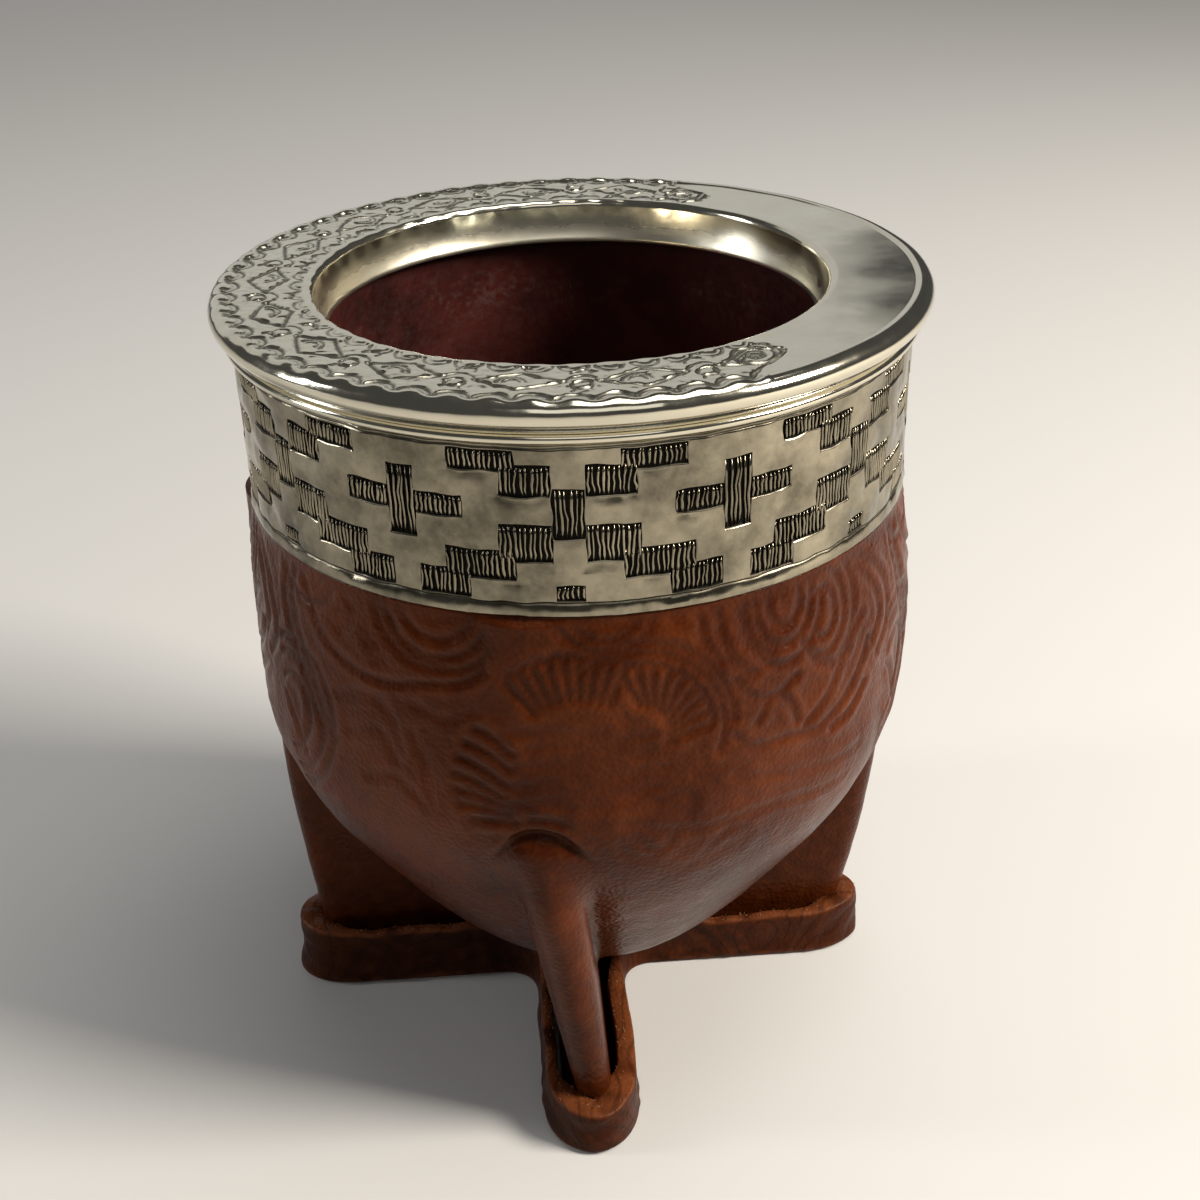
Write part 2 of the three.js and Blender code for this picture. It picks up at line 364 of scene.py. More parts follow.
def diamonds(angle, r):
    x, y = folded(angle, DIAMOND_PITCH, PLATE_MIDDLE, DIAMOND_SHIFT), r - PLATE_MIDDLE
    outline = (np.abs(x) / 5.1 + np.abs(y) / 2.6 - 1) * 2.32
    cuts = cut_line(outline, 0.27, 0.27)
    arc = np.hypot(x + 0.9, y - 0.55)
    for radius, depth in ((1.75, 0.2), (1.05, 0.17)):
        cuts += cut_line(arc - radius, 0.19, depth) * eased(y, 0.75, 0.35) * (outline < -0.2)
    return 0.05 * np.clip(-outline / 2.0, 0, 1), cuts


def eyes(angle, r):
    x = folded(angle, DIAMOND_PITCH, 41.4, DIAMOND_SHIFT + DIAMOND_PITCH / 2)
    eye = np.hypot(x, r - 41.5)
    cuts = cut_line(eye - 1.15, 0.2, 0.25)
    cuts += cut_line(np.hypot(x, r - 41.0) - 2.15, 0.19, 0.2) * eased(r, 40.9, 40.3)
    cuts += cut_line(np.hypot(x, r - 38.0) - 1.25, 0.19, 0.18) * eased(r, 38.4, 38.0)
    cuts += cut_line(np.hypot(x, r - 43.4) - 1.1, 0.18, 0.16) * eased(r, 43.6, 43.3)
    return 0.08 * np.clip(1 - eye ** 2, 0, 1), cuts


# %% Ends of the engraved field
ENGRAVED_HALF = 125.0


def end_knots(angle, r):
    cuts = np.zeros(r.shape)
    for side in (-1, 1):
        past_end = np.radians(angle - side * ENGRAVED_HALF) * 40.0 * side
        knot = np.hypot(past_end + 4.2, r - 39.8)
        cuts += cut_line(knot - 2.6, 0.22, 0.22) + cut_line(knot - 1.2, 0.2, 0.22)
    return 0.0, cuts


def rim_engraving(angle, r):
    """Height of the engraved surface and its patina, by angle from the far left side and radius."""
    field_end = ENGRAVED_HALF - 10.0 * eased(r, 40.5, 45.0) - 3.0 * eased(r, 38.0, 36.0)
    to_end = np.radians(field_end - np.abs(angle)) * r
    cuts = cut_line(to_end - 0.7, 0.24, 0.22) * eased(r, 36.4, 37.0) * eased(r, 45.4, 44.8)
    height = np.zeros(r.shape)
    for row in (bead_moons, lip_moons, ground_strokes, diamonds, eyes, end_knots):
        raised, cut = row(angle, r)
        height, cuts = height + raised, cuts + cut
    shown = eased(to_end, -0.3, 0.3)
    return (height + cuts) * shown, np.clip(-cuts / 0.2, 0, 1) * shown


print("half-moons along the bead:", round(2 * ENGRAVED_HALF / MOON_PITCH))

# %% [markdown]
# The mesh is fine where it is engraved and coarse where it is plain. Besides the cuts, hand hammering
# leaves the engraved field uneven, and dirt sits in the groove under the bead.

# %% The rim's mesh
FINE_STEPS, PLAIN_STEPS = 868, 60
FINE_END = ENGRAVED_HALF + 3
fine_angles = np.linspace(-FINE_END, FINE_END, FINE_STEPS)
plain_angles = np.linspace(FINE_END, 360 - FINE_END, PLAIN_STEPS)[1:-1]
rim_angles = np.concatenate([fine_angles, plain_angles])
rim_along = np.gradient(rim_profile, axis=0)
rim_away = np.stack([rim_along[:, 1], -rim_along[:, 0]], -1)
rim_away /= np.linalg.norm(rim_away, axis=1, keepdims=True)

angle_grid, r_grid = np.meshgrid((rim_angles + 180) % 360 - 180, rim_profile[:, 0])
z_grid = np.repeat(rim_profile[:, 1:], len(rim_angles), 1)
on_top = z_grid > 113.2
rim_lift, rim_patina = (values * on_top for values in rim_engraving(angle_grid, r_grid))
r_cut = r_grid + rim_away[:, :1] * rim_lift
z_cut = z_grid + rim_away[:, 1:] * rim_lift
rim_turn = np.radians(rim_angles + 180)[None, :]
rim_points = np.stack([r_cut * np.cos(rim_turn), r_cut * np.sin(rim_turn), z_cut], -1)

# %% Hammering and dirt
in_field = eased(np.abs(angle_grid), ENGRAVED_HALF - 4, ENGRAVED_HALF - 12)
hammered = in_field * (r_grid < 45.6) * (r_grid > 35.6) * on_top
rim_points[..., 2] += 0.03 * hand_wobble(rim_points, 11.0, 3) * on_top
blows = 0.05 * hand_wobble(rim_points, 1.9, 4) + 0.05 * hand_wobble(rim_points, 4.2, 5)
rim_points[..., 2] += blows * hammered
under_bead = crest(z_grid - 111.0, 0.35) * (r_grid < 46.2) * (r_grid > 45.0)
rim_patina = np.clip(rim_patina + 0.55 * under_bead, 0, 1)
rim = skin_piece("turned_rim", rim_points, ring_faces(*angle_grid.shape, closed=True), rim_metal,
                 {"patina": 0.75 * rim_patina, "brushed": eased(r_grid, 34.2, 33.6)})

# %% [markdown]
# ## The pattern band
# The band is a strip of sheet, chased with stepped blocks and crosses. Raised fields stay smooth, and
# the ground between them was sunk, blackened and hatched with upright strokes. Seven equal repeats go
# round. So one repeat is laid out flat, with mesh lines on both sides of each block's edge, and
# Geometry Nodes sets it seven times round the axis and closes the seams.

# %% Blocks of one repeat, in degrees from its middle and in millimetres of height
BAND_R = 45.5
BAND_REPEATS = 7
BAND_PITCH = 360.0 / BAND_REPEATS
HALF_PITCH = BAND_PITCH / 2
BAND_START = -94.4
SUNK, BLOCK_EDGE = 0.42, 0.09
middle_blocks = [(-2.4, 2.4, 97.0, 103.5), (-2.2, 2.2, 88.9, 91.1)]
right_blocks = [
    (7.6, 17.8, 105.5, 108.2), (2.5, 10.2, 102.4, 106.4), (2.4, 10.6, 94.0, 98.9),
    (8.0, 19.0, 91.6, 95.6), (15.0, 23.5, 88.9, 92.7),
]
left_blocks = [(-b, -a, low, high) for a, b, low, high in right_blocks]
cross_bars = [(HALF_PITCH - 2.3, HALF_PITCH + 2.3, 96.1, 105.2)]
cross_bars += [(HALF_PITCH - 10.0, HALF_PITCH + 10.0, 99.2, 102.2)]
hatched_blocks = middle_blocks + right_blocks + left_blocks + cross_bars
cross_before = [(a - BAND_PITCH, b - BAND_PITCH, low, high) for a, b, low, high in cross_bars]
band_blocks = hatched_blocks + cross_before
print("sunk blocks in one repeat:", len(hatched_blocks))


# %% Depth of the ground, and distance from it
def sunk_depth(u, z):
    """0 on the raised fields, 1 on the sunk ground, with steep sides at the blocks' edges."""
    edge_turn = math.degrees(BLOCK_EDGE / BAND_R)
    depth = np.zeros(np.broadcast(u, z).shape)
    for a, b, low, high in band_blocks:
        inside_u = np.clip(np.minimum(u - a, b - u) / edge_turn, 0, 1)
        inside_z = np.clip(np.minimum(z - low, high - z) / BLOCK_EDGE, 0, 1)
        depth = np.maximum(depth, inside_u * inside_z)
    return depth


def beside_block(u, z):
    """Distance in millimetres from the nearest sunk block."""
    gap = np.full(np.broadcast(u, z).shape, 99.0)
    for a, b, low, high in band_blocks:
        out_u = np.radians(np.maximum(np.maximum(a - u, u - b), 0)) * BAND_R
        out_z = np.maximum(np.maximum(low - z, z - high), 0)
        gap = np.minimum(gap, np.hypot(out_u, out_z))
    return gap


# %% Mesh lines of one repeat
BAND_LOW, BAND_HIGH = 87.2, 109.0
LOW_SCRIBE, HIGH_SCRIBE = 88.7, 108.55


def with_edges(low, high, step, edges, gap):
    """Even steps, with a line on each side of every edge."""
    lines = set(np.round(np.linspace(low, high, int((high - low) / step) + 1), 5))
    lines = {v for v in lines if all(abs(v - e) > 1.6 * gap for e in edges) or v in (low, high)}
    for e in edges:
        lines |= {v for v in (round(e - gap, 5), round(e, 5), round(e + gap, 5)) if low < v < high}
    return np.array(sorted(lines | {low, high}))


block_sides = {round(v, 5) for block in band_blocks for v in block[:2]}
u_edges = sorted(v for v in block_sides if abs(v) < HALF_PITCH - 1)
z_edges = sorted({v for block in band_blocks for v in block[2:]} | {LOW_SCRIBE, HIGH_SCRIBE})
u_lines = with_edges(-round(HALF_PITCH, 5), round(HALF_PITCH, 5), 0.72, u_edges, 0.114)
z_lines = with_edges(BAND_LOW, BAND_HIGH, 0.55, z_edges, BLOCK_EDGE)
print("one repeat has", len(u_lines), "by", len(z_lines), "lines")

# %% [markdown]
# The blocks were cut by eye, so their edges wander a little. The wander has to be the same at both ends
# of a repeat, or the seams would gape, so the noise is read on a circle that one repeat goes round once.

# %% One repeat of the band, with hand-cut wavy edges
u_grid, zb_grid = np.meshgrid(u_lines, z_lines)
sunk = sunk_depth(u_grid, zb_grid)
scribed = crest(zb_grid - LOW_SCRIBE, 0.1) + 0.8 * crest(zb_grid - HIGH_SCRIBE, 0.1)
loop = BAND_REPEATS * np.radians(u_grid)
loop_place = np.stack([BAND_R * np.cos(loop), BAND_R * np.sin(loop), zb_grid * 6], -1)
u_wavy = u_grid + 0.13 * hand_wobble(loop_place, 22.0, 11) * eased(np.abs(u_grid), 25.7, 24.0)
z_wavy = zb_grid + 0.10 * hand_wobble(loop_place, 26.0, 12) * eased(np.abs(zb_grid - 98), 11, 9)
sheet_wave = 0.1 * hand_wobble(loop_place, 34.0, 13) + 0.02 * hand_wobble(loop_place, 11.0, 14)
pressed_in = 0.16 * crest(beside_block(u_grid, zb_grid), 1.0)
flared_out = 0.15 * eased(zb_grid, 88.6, 87.4)
r_band = BAND_R - SUNK * sunk - 0.18 * scribed + (sheet_wave - pressed_in) * (1 - sunk) + flared_out
band_turn = np.radians(u_wavy + BAND_START)
repeat_points = np.stack([r_band * np.cos(band_turn), r_band * np.sin(band_turn), z_wavy], -1)
print("band radius from", r_band.min().round(2), "to", r_band.max().round(2), "mm")


# %% The back of the sheet, and the repeat's mesh
def band_ring(radius, z):
    turn = np.radians(u_lines + BAND_START)
    return np.stack([radius * np.cos(turn), radius * np.sin(turn), np.full(len(turn), z)], -1)


def strip_faces(rows, columns):
    """Faces of an open strip whose rows close on themselves."""
    index = np.arange(rows * columns).reshape(rows, columns)
    above = np.roll(index, -1, 0)
    corners = [index[:, :-1], index[:, 1:], above[:, 1:], above[:, :-1]]
    return np.stack(corners, -1).reshape(-1, 4).tolist()


back_line = ((44.45, 109.0), (44.45, 98.0), (44.45, 86.92), (45.2, 86.9), (45.58, 87.0))
back_rows = np.stack([band_ring(radius, z) for radius, z in back_line])
repeat_points = np.concatenate([repeat_points, back_rows])
repeat_patina = np.concatenate([np.clip(sunk + 0.8 * scribed, 0, 1), np.zeros(back_rows.shape[:2])])
pattern_band = skin_piece("chased_band", repeat_points, strip_faces(*repeat_points.shape[:2]), band_metal,
                          {"patina": repeat_patina})


# %% Helpers for Geometry Nodes
def new_tree(name, inputs, output):
    """An empty tree with named inputs and one geometry as output, and its input sockets."""
    tree = bpy.data.node_groups.new(name, "GeometryNodeTree")
    tree.is_modifier = True
    for label, kind in inputs.items():
        tree.interface.new_socket(label, in_out="INPUT", socket_type="NodeSocket" + kind)
    tree.interface.new_socket(output, in_out="OUTPUT", socket_type="NodeSocketGeometry")
    return tree, tree.nodes.new("NodeGroupInput").outputs


def end_tree(tree, geometry, finish):
    dressed = add_node(tree, "GeometryNodeSetMaterial", None, Geometry=geometry, Material=finish)
    out = tree.nodes.new("NodeGroupOutput")
    tree.links.new(dressed.outputs[0], out.inputs[0])
    return tree


def run_tree(piece, tree, **values):
    """Sets a tree's inputs by identifier, runs it, and keeps the result as the piece's plain mesh."""
    modifier = piece.modifiers.new(tree.name, "NODES")
    modifier.node_group = tree
    for item in tree.interface.items_tree:
        if item.in_out == "INPUT" and item.name in values:
            modifier[item.identifier] = values[item.name]
    bpy.context.view_layer.update()
    seen = piece.evaluated_get(bpy.context.evaluated_depsgraph_get())
    mesh = bpy.data.meshes.new_from_object(seen)
    piece.modifiers.clear()
    piece.data = mesh
    mesh.shade_smooth()
    print(piece.name, "settled with", len(mesh.polygons), "faces")


# %% Geometry Nodes: repeats round the axis
def round_the_axis_tree():
    inputs = {"Repeat": "Geometry", "Repeats": "Int", "Weld": "Float", "Finish": "Material"}
    tree, given = new_tree("repeats_round_the_axis", inputs, "Ring")
    spots = add_node(tree, "GeometryNodePoints", None, Count=given["Repeats"])
    number = add_node(tree, "GeometryNodeInputIndex").outputs[0]
    share = calc(tree, "DIVIDE", number, given["Repeats"])
    turn = add_node(tree, "ShaderNodeCombineXYZ", None, Z=times(tree, share, 2 * math.pi))
    placed = add_node(tree, "GeometryNodeInstanceOnPoints", None, Points=spots.outputs[0],
                      Instance=given["Repeat"], Rotation=turn.outputs[0])
    real = add_node(tree, "GeometryNodeRealizeInstances", None, Geometry=placed.outputs[0])
    welded = add_node(tree, "GeometryNodeMergeByDistance", None, Geometry=real.outputs[0],
                      Distance=given["Weld"])
    return end_tree(tree, welded.outputs[0], given["Finish"])


ring_tree = round_the_axis_tree()
run_tree(pattern_band, ring_tree, Repeats=BAND_REPEATS, Weld=0.02 * MM, Finish=band_metal)

# %% [markdown]
# ## Hatching
# What glints between the black strokes are narrow ridges of metal left standing on the sunk ground.
# There are several hundred, so one low bar of a few faces is set on a point for each. The points carry
# the length and lean of their ridge, and a slow noise bends the finished bars as a hand-held graver would.

# %% One point for each ridge of a repeat
RIDGE_STEP = 0.62
chance = np.random.default_rng(21)
ridge_spots = []
for a, b, low, high in hatched_blocks:
    count = max(2, round(math.radians(b - a) * BAND_R / RIDGE_STEP))
    for i in range(count):
        u = a + (b - a) * (i + 0.5 + chance.uniform(-0.12, 0.12)) / count
        mid = (low + high) / 2 + chance.uniform(-0.1, 0.1)
        length = high - low - 0.34 - chance.uniform(0.0, 0.35)
        width, lean = chance.uniform(0.72, 1.15), chance.uniform(-0.05, 0.05)
        in_taller_block = any(o[0] < u < o[1] and o[2] < low and high < o[3] for o in hatched_blocks)
        if not in_taller_block:
            ridge_spots.append((u, mid, length, width, lean))
ridge_u, ridge_z, ridge_length, ridge_width, ridge_lean = np.array(ridge_spots).T
ridge_turn = np.radians(ridge_u + BAND_START)
ground_r = BAND_R - SUNK - 0.02
ridge_points = np.stack([ground_r * np.cos(ridge_turn), ground_r * np.sin(ridge_turn), ridge_z], -1)
ridge_marks = {"ridge_length": ridge_length * MM, "ridge_width": ridge_width, "ridge_lean": ridge_lean}
band_ridges = skin_piece("band_ridges", ridge_points, [], band_metal, ridge_marks)


# %% One bar
def ridge_bar():
    """A bar one metre long on Z, low and rounded, its back on X = 0, to be scaled to each length."""
    section = [(0.0, -0.19), (0.26, -0.14), (0.35, -0.05), (0.35, 0.05), (0.26, 0.14), (0.0, 0.19)]
    points = []
    for part in np.linspace(-0.5, 0.5, 6):
        taper = 1.0 if abs(part) < 0.45 else 0.6
        points += [(x * taper, y * taper, part / MM) for x, y in section]
    faces = ring_faces(6, 6) + [[5, 4, 3, 2, 1, 0], [30, 31, 32, 33, 34, 35]]
    blackened = [0.5 - 1.4 * x for x, y, z in points]
    return skin_piece("ridge_bar", points, faces, band_metal, {"patina": blackened})


bar = ridge_bar()


# %% Geometry Nodes: a bent bar on each point
def ridges_tree():
    inputs = {"Spots": "Geometry", "Bar": "Object", "Bend": "Float", "Finish": "Material"}
    tree, given = new_tree("ridges_on_the_ground", inputs, "Ridges")

    def named(name):
        node = add_node(tree, "GeometryNodeInputNamedAttribute", {"data_type": "FLOAT"}, Name=name)
        return node.outputs[0]

    place = add_node(tree, "GeometryNodeInputPosition").outputs[0]
    part = add_node(tree, "ShaderNodeSeparateXYZ", None, Vector=place).outputs
    facing = calc(tree, "ARCTAN2", part["Y"], part["X"])
    turn = add_node(tree, "ShaderNodeCombineXYZ", None, X=named("ridge_lean"), Z=facing)
    size = add_node(tree, "ShaderNodeCombineXYZ", None, X=1.0, Y=named("ridge_width"),
                    Z=named("ridge_length"))
    info = add_node(tree, "GeometryNodeObjectInfo", None, Object=given["Bar"])
    placed = add_node(tree, "GeometryNodeInstanceOnPoints", None, Points=given["Spots"],
                      Instance=info.outputs["Geometry"], Rotation=turn.outputs[0], Scale=size.outputs[0])
    real = add_node(tree, "GeometryNodeRealizeInstances", None, Geometry=placed.outputs[0])
    noise = add_node(tree, "ShaderNodeTexNoise", {"noise_dimensions": "4D"}, Vector=place, W=7.0,
                     Scale=650.0, Detail=1.0).outputs[0]
    swing = times(tree, calc(tree, "SUBTRACT", noise, 0.5), given["Bend"])
    across = add_node(tree, "ShaderNodeCombineXYZ", None, X=times(tree, part["Y"], -1.0), Y=part["X"])
    along = add_node(tree, "ShaderNodeVectorMath", {"operation": "NORMALIZE"}, n0=across.outputs[0])
    shift = add_node(tree, "ShaderNodeVectorMath", {"operation": "SCALE"}, n0=along.outputs[0], Scale=swing)
    bent = add_node(tree, "GeometryNodeSetPosition", None, Geometry=real.outputs[0], Offset=shift.outputs[0])
    return end_tree(tree, bent.outputs[0], given["Finish"])


run_tree(band_ridges, ridges_tree(), Bar=bar, Bend=0.9 * MM, Finish=band_metal)
bpy.data.objects.remove(bar)
run_tree(band_ridges, ring_tree, Repeats=BAND_REPEATS, Weld=0.0, Finish=band_metal)

# %% [markdown]
# ## The leather cover
# One wet-moulded skin: a bowl that hugs the gourd and, where it was pinched together, four upright fins
# that run down into the foot. Sculpting would do for one side, but the fins follow a rule. Each level is
# one closed outline: a body arc, out along a fin's wall, round its nose, back, and on to the next arc.
# Where a fin hasn't left the body yet, its points rest on the body's circle, so it grows out smoothly.

# %% Body line and fins
BODY_R, WIDEST_Z, TOP_Z, TOP_R = 47.1, 59.4, 86.5, 46.1
SOLE_Z, FIN_TOP_Z = 2.2, 58.0
FIN_HALF_LOW, FIN_HALF_HIGH = 2.5, 4.7
LEAST_R, TUCK = 6.8, 0.75
LOW_STEPS, HIGH_STEPS = 240, 60
Fin = namedtuple("Fin", "turn foot top foot_side top_side head")
fins = [
    Fin(turn=0, foot=39.6, top=46.9, foot_side=0.0, top_side=0.0, head=0.0),
    Fin(turn=90, foot=41.4, top=46.9, foot_side=2.8, top_side=0.0, head=0.0),
    Fin(turn=180, foot=43.2, top=46.9, foot_side=0.0, top_side=0.0, head=0.0),
    Fin(turn=270, foot=41.6, top=45.6, foot_side=-2.2, top_side=-9.2, head=1.3),
]


def body_line(depth=0.0, steps=LOW_STEPS):
    """Radius and height of the body from its lowest point to its top edge."""
    down = np.pi / 2 * (1 - np.arange(steps + 1) / steps)
    reach = BODY_R - depth - 14.0 * np.sin(down) ** 2 + 21.5 * np.sin(down) ** 4
    low = np.stack([reach * np.cos(down), WIDEST_Z - reach * np.sin(down)], -1)
    up = np.linspace(0.02, 1, HIGH_STEPS)
    high_r = BODY_R - depth - (BODY_R - TOP_R) * up ** 2
    return np.concatenate([low, np.stack([high_r, WIDEST_Z + (TOP_Z - WIDEST_Z) * up], -1)])


body = body_line()
print("body runs from", body[0].round(1), "to", body[-1].round(1))

# %% One level's outline
QUARTER_STEPS = 180


def even_steps(points, count):
    """Points at equal distances along a run of points, without its last one."""
    far = np.concatenate([[0], np.cumsum(np.linalg.norm(np.diff(points, axis=0), axis=1))])
    even = np.linspace(0, far[-1], count, endpoint=False)
    return np.stack([np.interp(even, far, points[:, k]) for k in (0, 1)], -1)


def quarter_outline(z, fin):
    """A quarter of the cover's outline at a height, with one fin in its middle."""
    radius = max(np.interp(z, body[:, 1], body[:, 0]), LEAST_R) - TUCK * eased(z, 77.0, 86.2)
    up = np.clip((z - SOLE_Z) / (FIN_TOP_Z - SOLE_Z), 0, 1)
    half = FIN_HALF_LOW + (FIN_HALF_HIGH - FIN_HALF_LOW) * up
    reach = fin.foot + (fin.top - fin.foot) * (1 - (1 - up) ** 2)
    reach += fin.head * eased(z, 56.0, 52.0) * eased(z, 28.0, 45.0)
    side = fin.foot_side + (fin.top_side - fin.foot_side) * up
    y_right, y_left = side - half, side + half
    root_right, root_left = (math.sqrt(max(radius ** 2 - y * y, 0.0)) for y in (y_right, y_left))
    nose = np.radians(np.linspace(-90, 90, 25))
    ends = np.interp(np.sin(nose), [-1, 1], [max(reach - half, root_right), max(reach - half, root_left)])
    before = np.linspace(-math.pi / 4, math.atan2(y_right, root_right), 60)
    after = np.linspace(math.atan2(y_left, root_left), math.pi / 4, 60)
    nose_x = ends + np.maximum(reach - ends, 0) * np.cos(nose)
    x = np.concatenate([radius * np.cos(before), nose_x, radius * np.cos(after)])
    y = np.concatenate([radius * np.sin(before), side + half * np.sin(nose), radius * np.sin(after)])
    grow = np.maximum(radius / np.hypot(x, y), 1.0)
    x, y = even_steps(np.stack([x * grow, y * grow], -1), QUARTER_STEPS).T
    c, s = math.cos(math.radians(fin.turn)), math.sin(math.radians(fin.turn))
    return np.stack([x * c - y * s, x * s + y * c, np.full(QUARTER_STEPS, z)], -1), np.hypot(x, y) - radius


def level_outline(z):
    """One closed outline of the cover, and how far each point stands out from the body."""
    quarters = [quarter_outline(z, fin) for fin in fins]
    return np.concatenate([q[0] for q in quarters]), np.concatenate([q[1] for q in quarters])


print("points on one level:", len(level_outline(40.0)[0]))

# %% [markdown]
# Pressed leather has no sharp corners, so each level's points are averaged with their neighbours where
# a fin leaves the body, and more so at the fin's head. The upper levels have twice as many points as the
# lower ones, because the tooled field needs them.

# %% Levels of the cover
SPLIT_Z, UPPER_LEVELS, LOWER_LEVELS = 51.0, 84, 62


def softened(rows, rounds, weight):
    """Averages each point with its neighbours along its level."""
    for _ in range(rounds):
        mean = (np.roll(rows, 1, 1) + np.roll(rows, -1, 1)) / 2
        rows = rows + (mean - rows) * weight
    return rows


def cover_rows(heights):
    levels = [level_outline(z) for z in heights]
    rows = np.stack([level[0] for level in levels])
    stands = np.clip(np.stack([level[1] for level in levels]) / 1.5, 0, 1)
    near_fin = np.clip(sum(np.roll(stands, s, 1) for s in range(-8, 9)) * 3, 0, 1)
    rows = softened(rows, 8, 0.5 * near_fin[..., None])
    fin_head = near_fin * eased(np.asarray(heights), 38.0, 50.0)[:, None]
    return softened(rows, 40, 0.5 * fin_head[..., None]), stands


upper_z = np.linspace(SPLIT_Z, 86.1, UPPER_LEVELS)
below = body[body[:, 1] < SPLIT_Z - 0.4]
travel = np.concatenate([[0], np.cumsum(np.linalg.norm(np.diff(below, axis=0), axis=1))])
low_z = np.interp(np.linspace(0, travel[-1], LOWER_LEVELS), travel, below[:, 1])
lower_z = np.concatenate([[2.5, 3.3, 4.1], low_z + 0.02])
upper_rows, upper_stand = cover_rows(upper_z)
lower_rows, lower_stand = (values[:, ::2] for values in cover_rows(lower_z))
print("cover levels:", len(lower_z), "below and", len(upper_z), "above")

# %% [markdown]
# ## Tooling
# The leather carries hand-tooled flowers and scrolls: a fan of petals in front, scallops hanging from
# the band, loops and leaves to the right, a chain and a ringed oval to the left. Each line is a short run
# of points in degrees round the cup and millimetres of height. A point of the cover sinks by its distance
# from the nearest line, so the lines are real grooves with a soft swell beside them. The field of lines
# is a third of the way round, and is tooled three times.

# %% Two ways to draw tooled lines
DEGREE = math.radians(1) * 47.0


def bow(az, z, radius, start, end, tall=1.0, lean=0.0, count=14):
    """A round line about a centre, its angles anticlockwise from the right."""
    turn = np.radians(np.linspace(start, end, count))
    x, y = radius * np.cos(turn), radius * tall * np.sin(turn)
    c, s = math.cos(math.radians(lean)), math.sin(math.radians(lean))
    return [(az + (c * a - s * b) / DEGREE, z + s * a + c * b) for a, b in zip(x, y)]


def petals(az, z, inner, outer, start, end, count, sweep=0.0):
    """Radial strokes about a centre, and round tips between their ends."""
    strokes = []
    for angle in np.linspace(start, end, count):
        line = []
        for part in np.linspace(0, 1, 6):
            a = math.radians(angle + sweep * (1 - part) ** 2)
            r = inner + (outer - inner) * part
            line.append((az + r * math.cos(a) / DEGREE, z + r * math.sin(a)))
        strokes.append(line)
    step = (end - start) / (count - 1)
    tip = outer * math.radians(step) / 2
    for angle in np.linspace(start + step / 2, end - step / 2, count - 1):
        a = math.radians(angle)
        strokes.append(bow(az + outer * math.cos(a) / DEGREE, z + outer * math.sin(a), tip,
                           angle - 90, angle + 90, count=7))
    return strokes


# %% In front: a fan, a shell beside it and leaning strokes
front_lines = petals(-94, 67, 9.2, 14.0, 66, 128, 9)
front_lines += petals(-85.5, 70.5, 4.4, 9.0, 0, 100, 9, -18)
front_lines += [bow(-85.5, 70.5, 11.4, -20, 128), bow(-85.5, 70.5, 12.6, 0, 112)]
leaning_strokes = (
    (-109.7, 71.4, 5.3, 3.0), (-111.2, 69.2, 6.4, 3.2), (-112.5, 67.0, 6.8, 3.2), (-113.4, 64.6, 7.2, 2.8),
    (-113.3, 62.3, 7.0, 1.8), (-112.7, 60.1, 7.6, 0.9), (-111.2, 58.1, 6.8, 0.3),
)
stroke_form = ((0.0, 0.0), (0.35, 0.2), (0.7, 0.6), (1.0, 1.0))
for az, z, run, drop in leaning_strokes:
    front_lines.append([(az + along * run, z - fall * drop) for along, fall in stroke_form])
print("lines in front:", len(front_lines))

# %% Under the band: scallops
scallops = ((-116, 88, 9.4, 190), (-116, 88, 7.7, 196), (-116, 88, 5.4, 200), (-89.5, 89, 6.8, 205),
            (-89.5, 89, 5.3, 208))
band_lines = [bow(az, z, radius, start, 540 - start) for az, z, radius, start in scallops]
band_lines += [
    bow(-143, 89, 7.0, 200, 330),
    [(-144, 85), (-140, 80), (-134, 76.5), (-126, 75.3), (-118, 76.5), (-112, 77.5), (-108, 79.5)],
    [(-124, 83), (-119, 80), (-113, 79), (-108, 80.5)],
]
print("lines under the band:", len(band_lines))

# %% To the right: loops and leaves
right_lines = [bow(-60, 84.5, 2.6 + 2 * k, 170 + 5 * k, end, 1.3) for k, end in enumerate((370, 365, 350))]
right_lines += [
    bow(-52, 80.5, 2.4, -120, 120, 1.3), bow(-52, 80.5, 4.4, -110, 120, 1.3),
    bow(-52, 80.5, 6.6, -60, 110, 1.2),
    [(-45, 86.5), (-38, 83), (-33.5, 78), (-33.5, 73), (-37, 69.5)],
    [(-43, 84), (-38.5, 80), (-36.5, 75.5), (-39, 72)],
    [(-72, 86), (-71.5, 82), (-70, 78.5), (-66, 76)], [(-67.5, 86), (-67, 83), (-66, 80), (-63, 78)],
    [(-75, 85), (-74.5, 82), (-72, 79)], [(-70, 76), (-66, 72.5), (-62, 72), (-58, 73.5)],
    [(-66, 69), (-63, 72), (-60, 70.5), (-58, 67)], [(-70, 68), (-66, 65.5), (-60, 65), (-54, 64)],
    [(-56, 65.5), (-51, 69), (-46, 74.5), (-42, 77.5)], [(-53, 64), (-47, 66.5), (-42, 70), (-40, 73)],
    [(-50, 63), (-45, 64), (-41, 66.5)], [(-52, 74), (-49, 72.8), (-46, 73.5)],
    [(-57, 78), (-54, 74.5), (-50, 72.5)],
]
print("lines to the right:", len(right_lines))

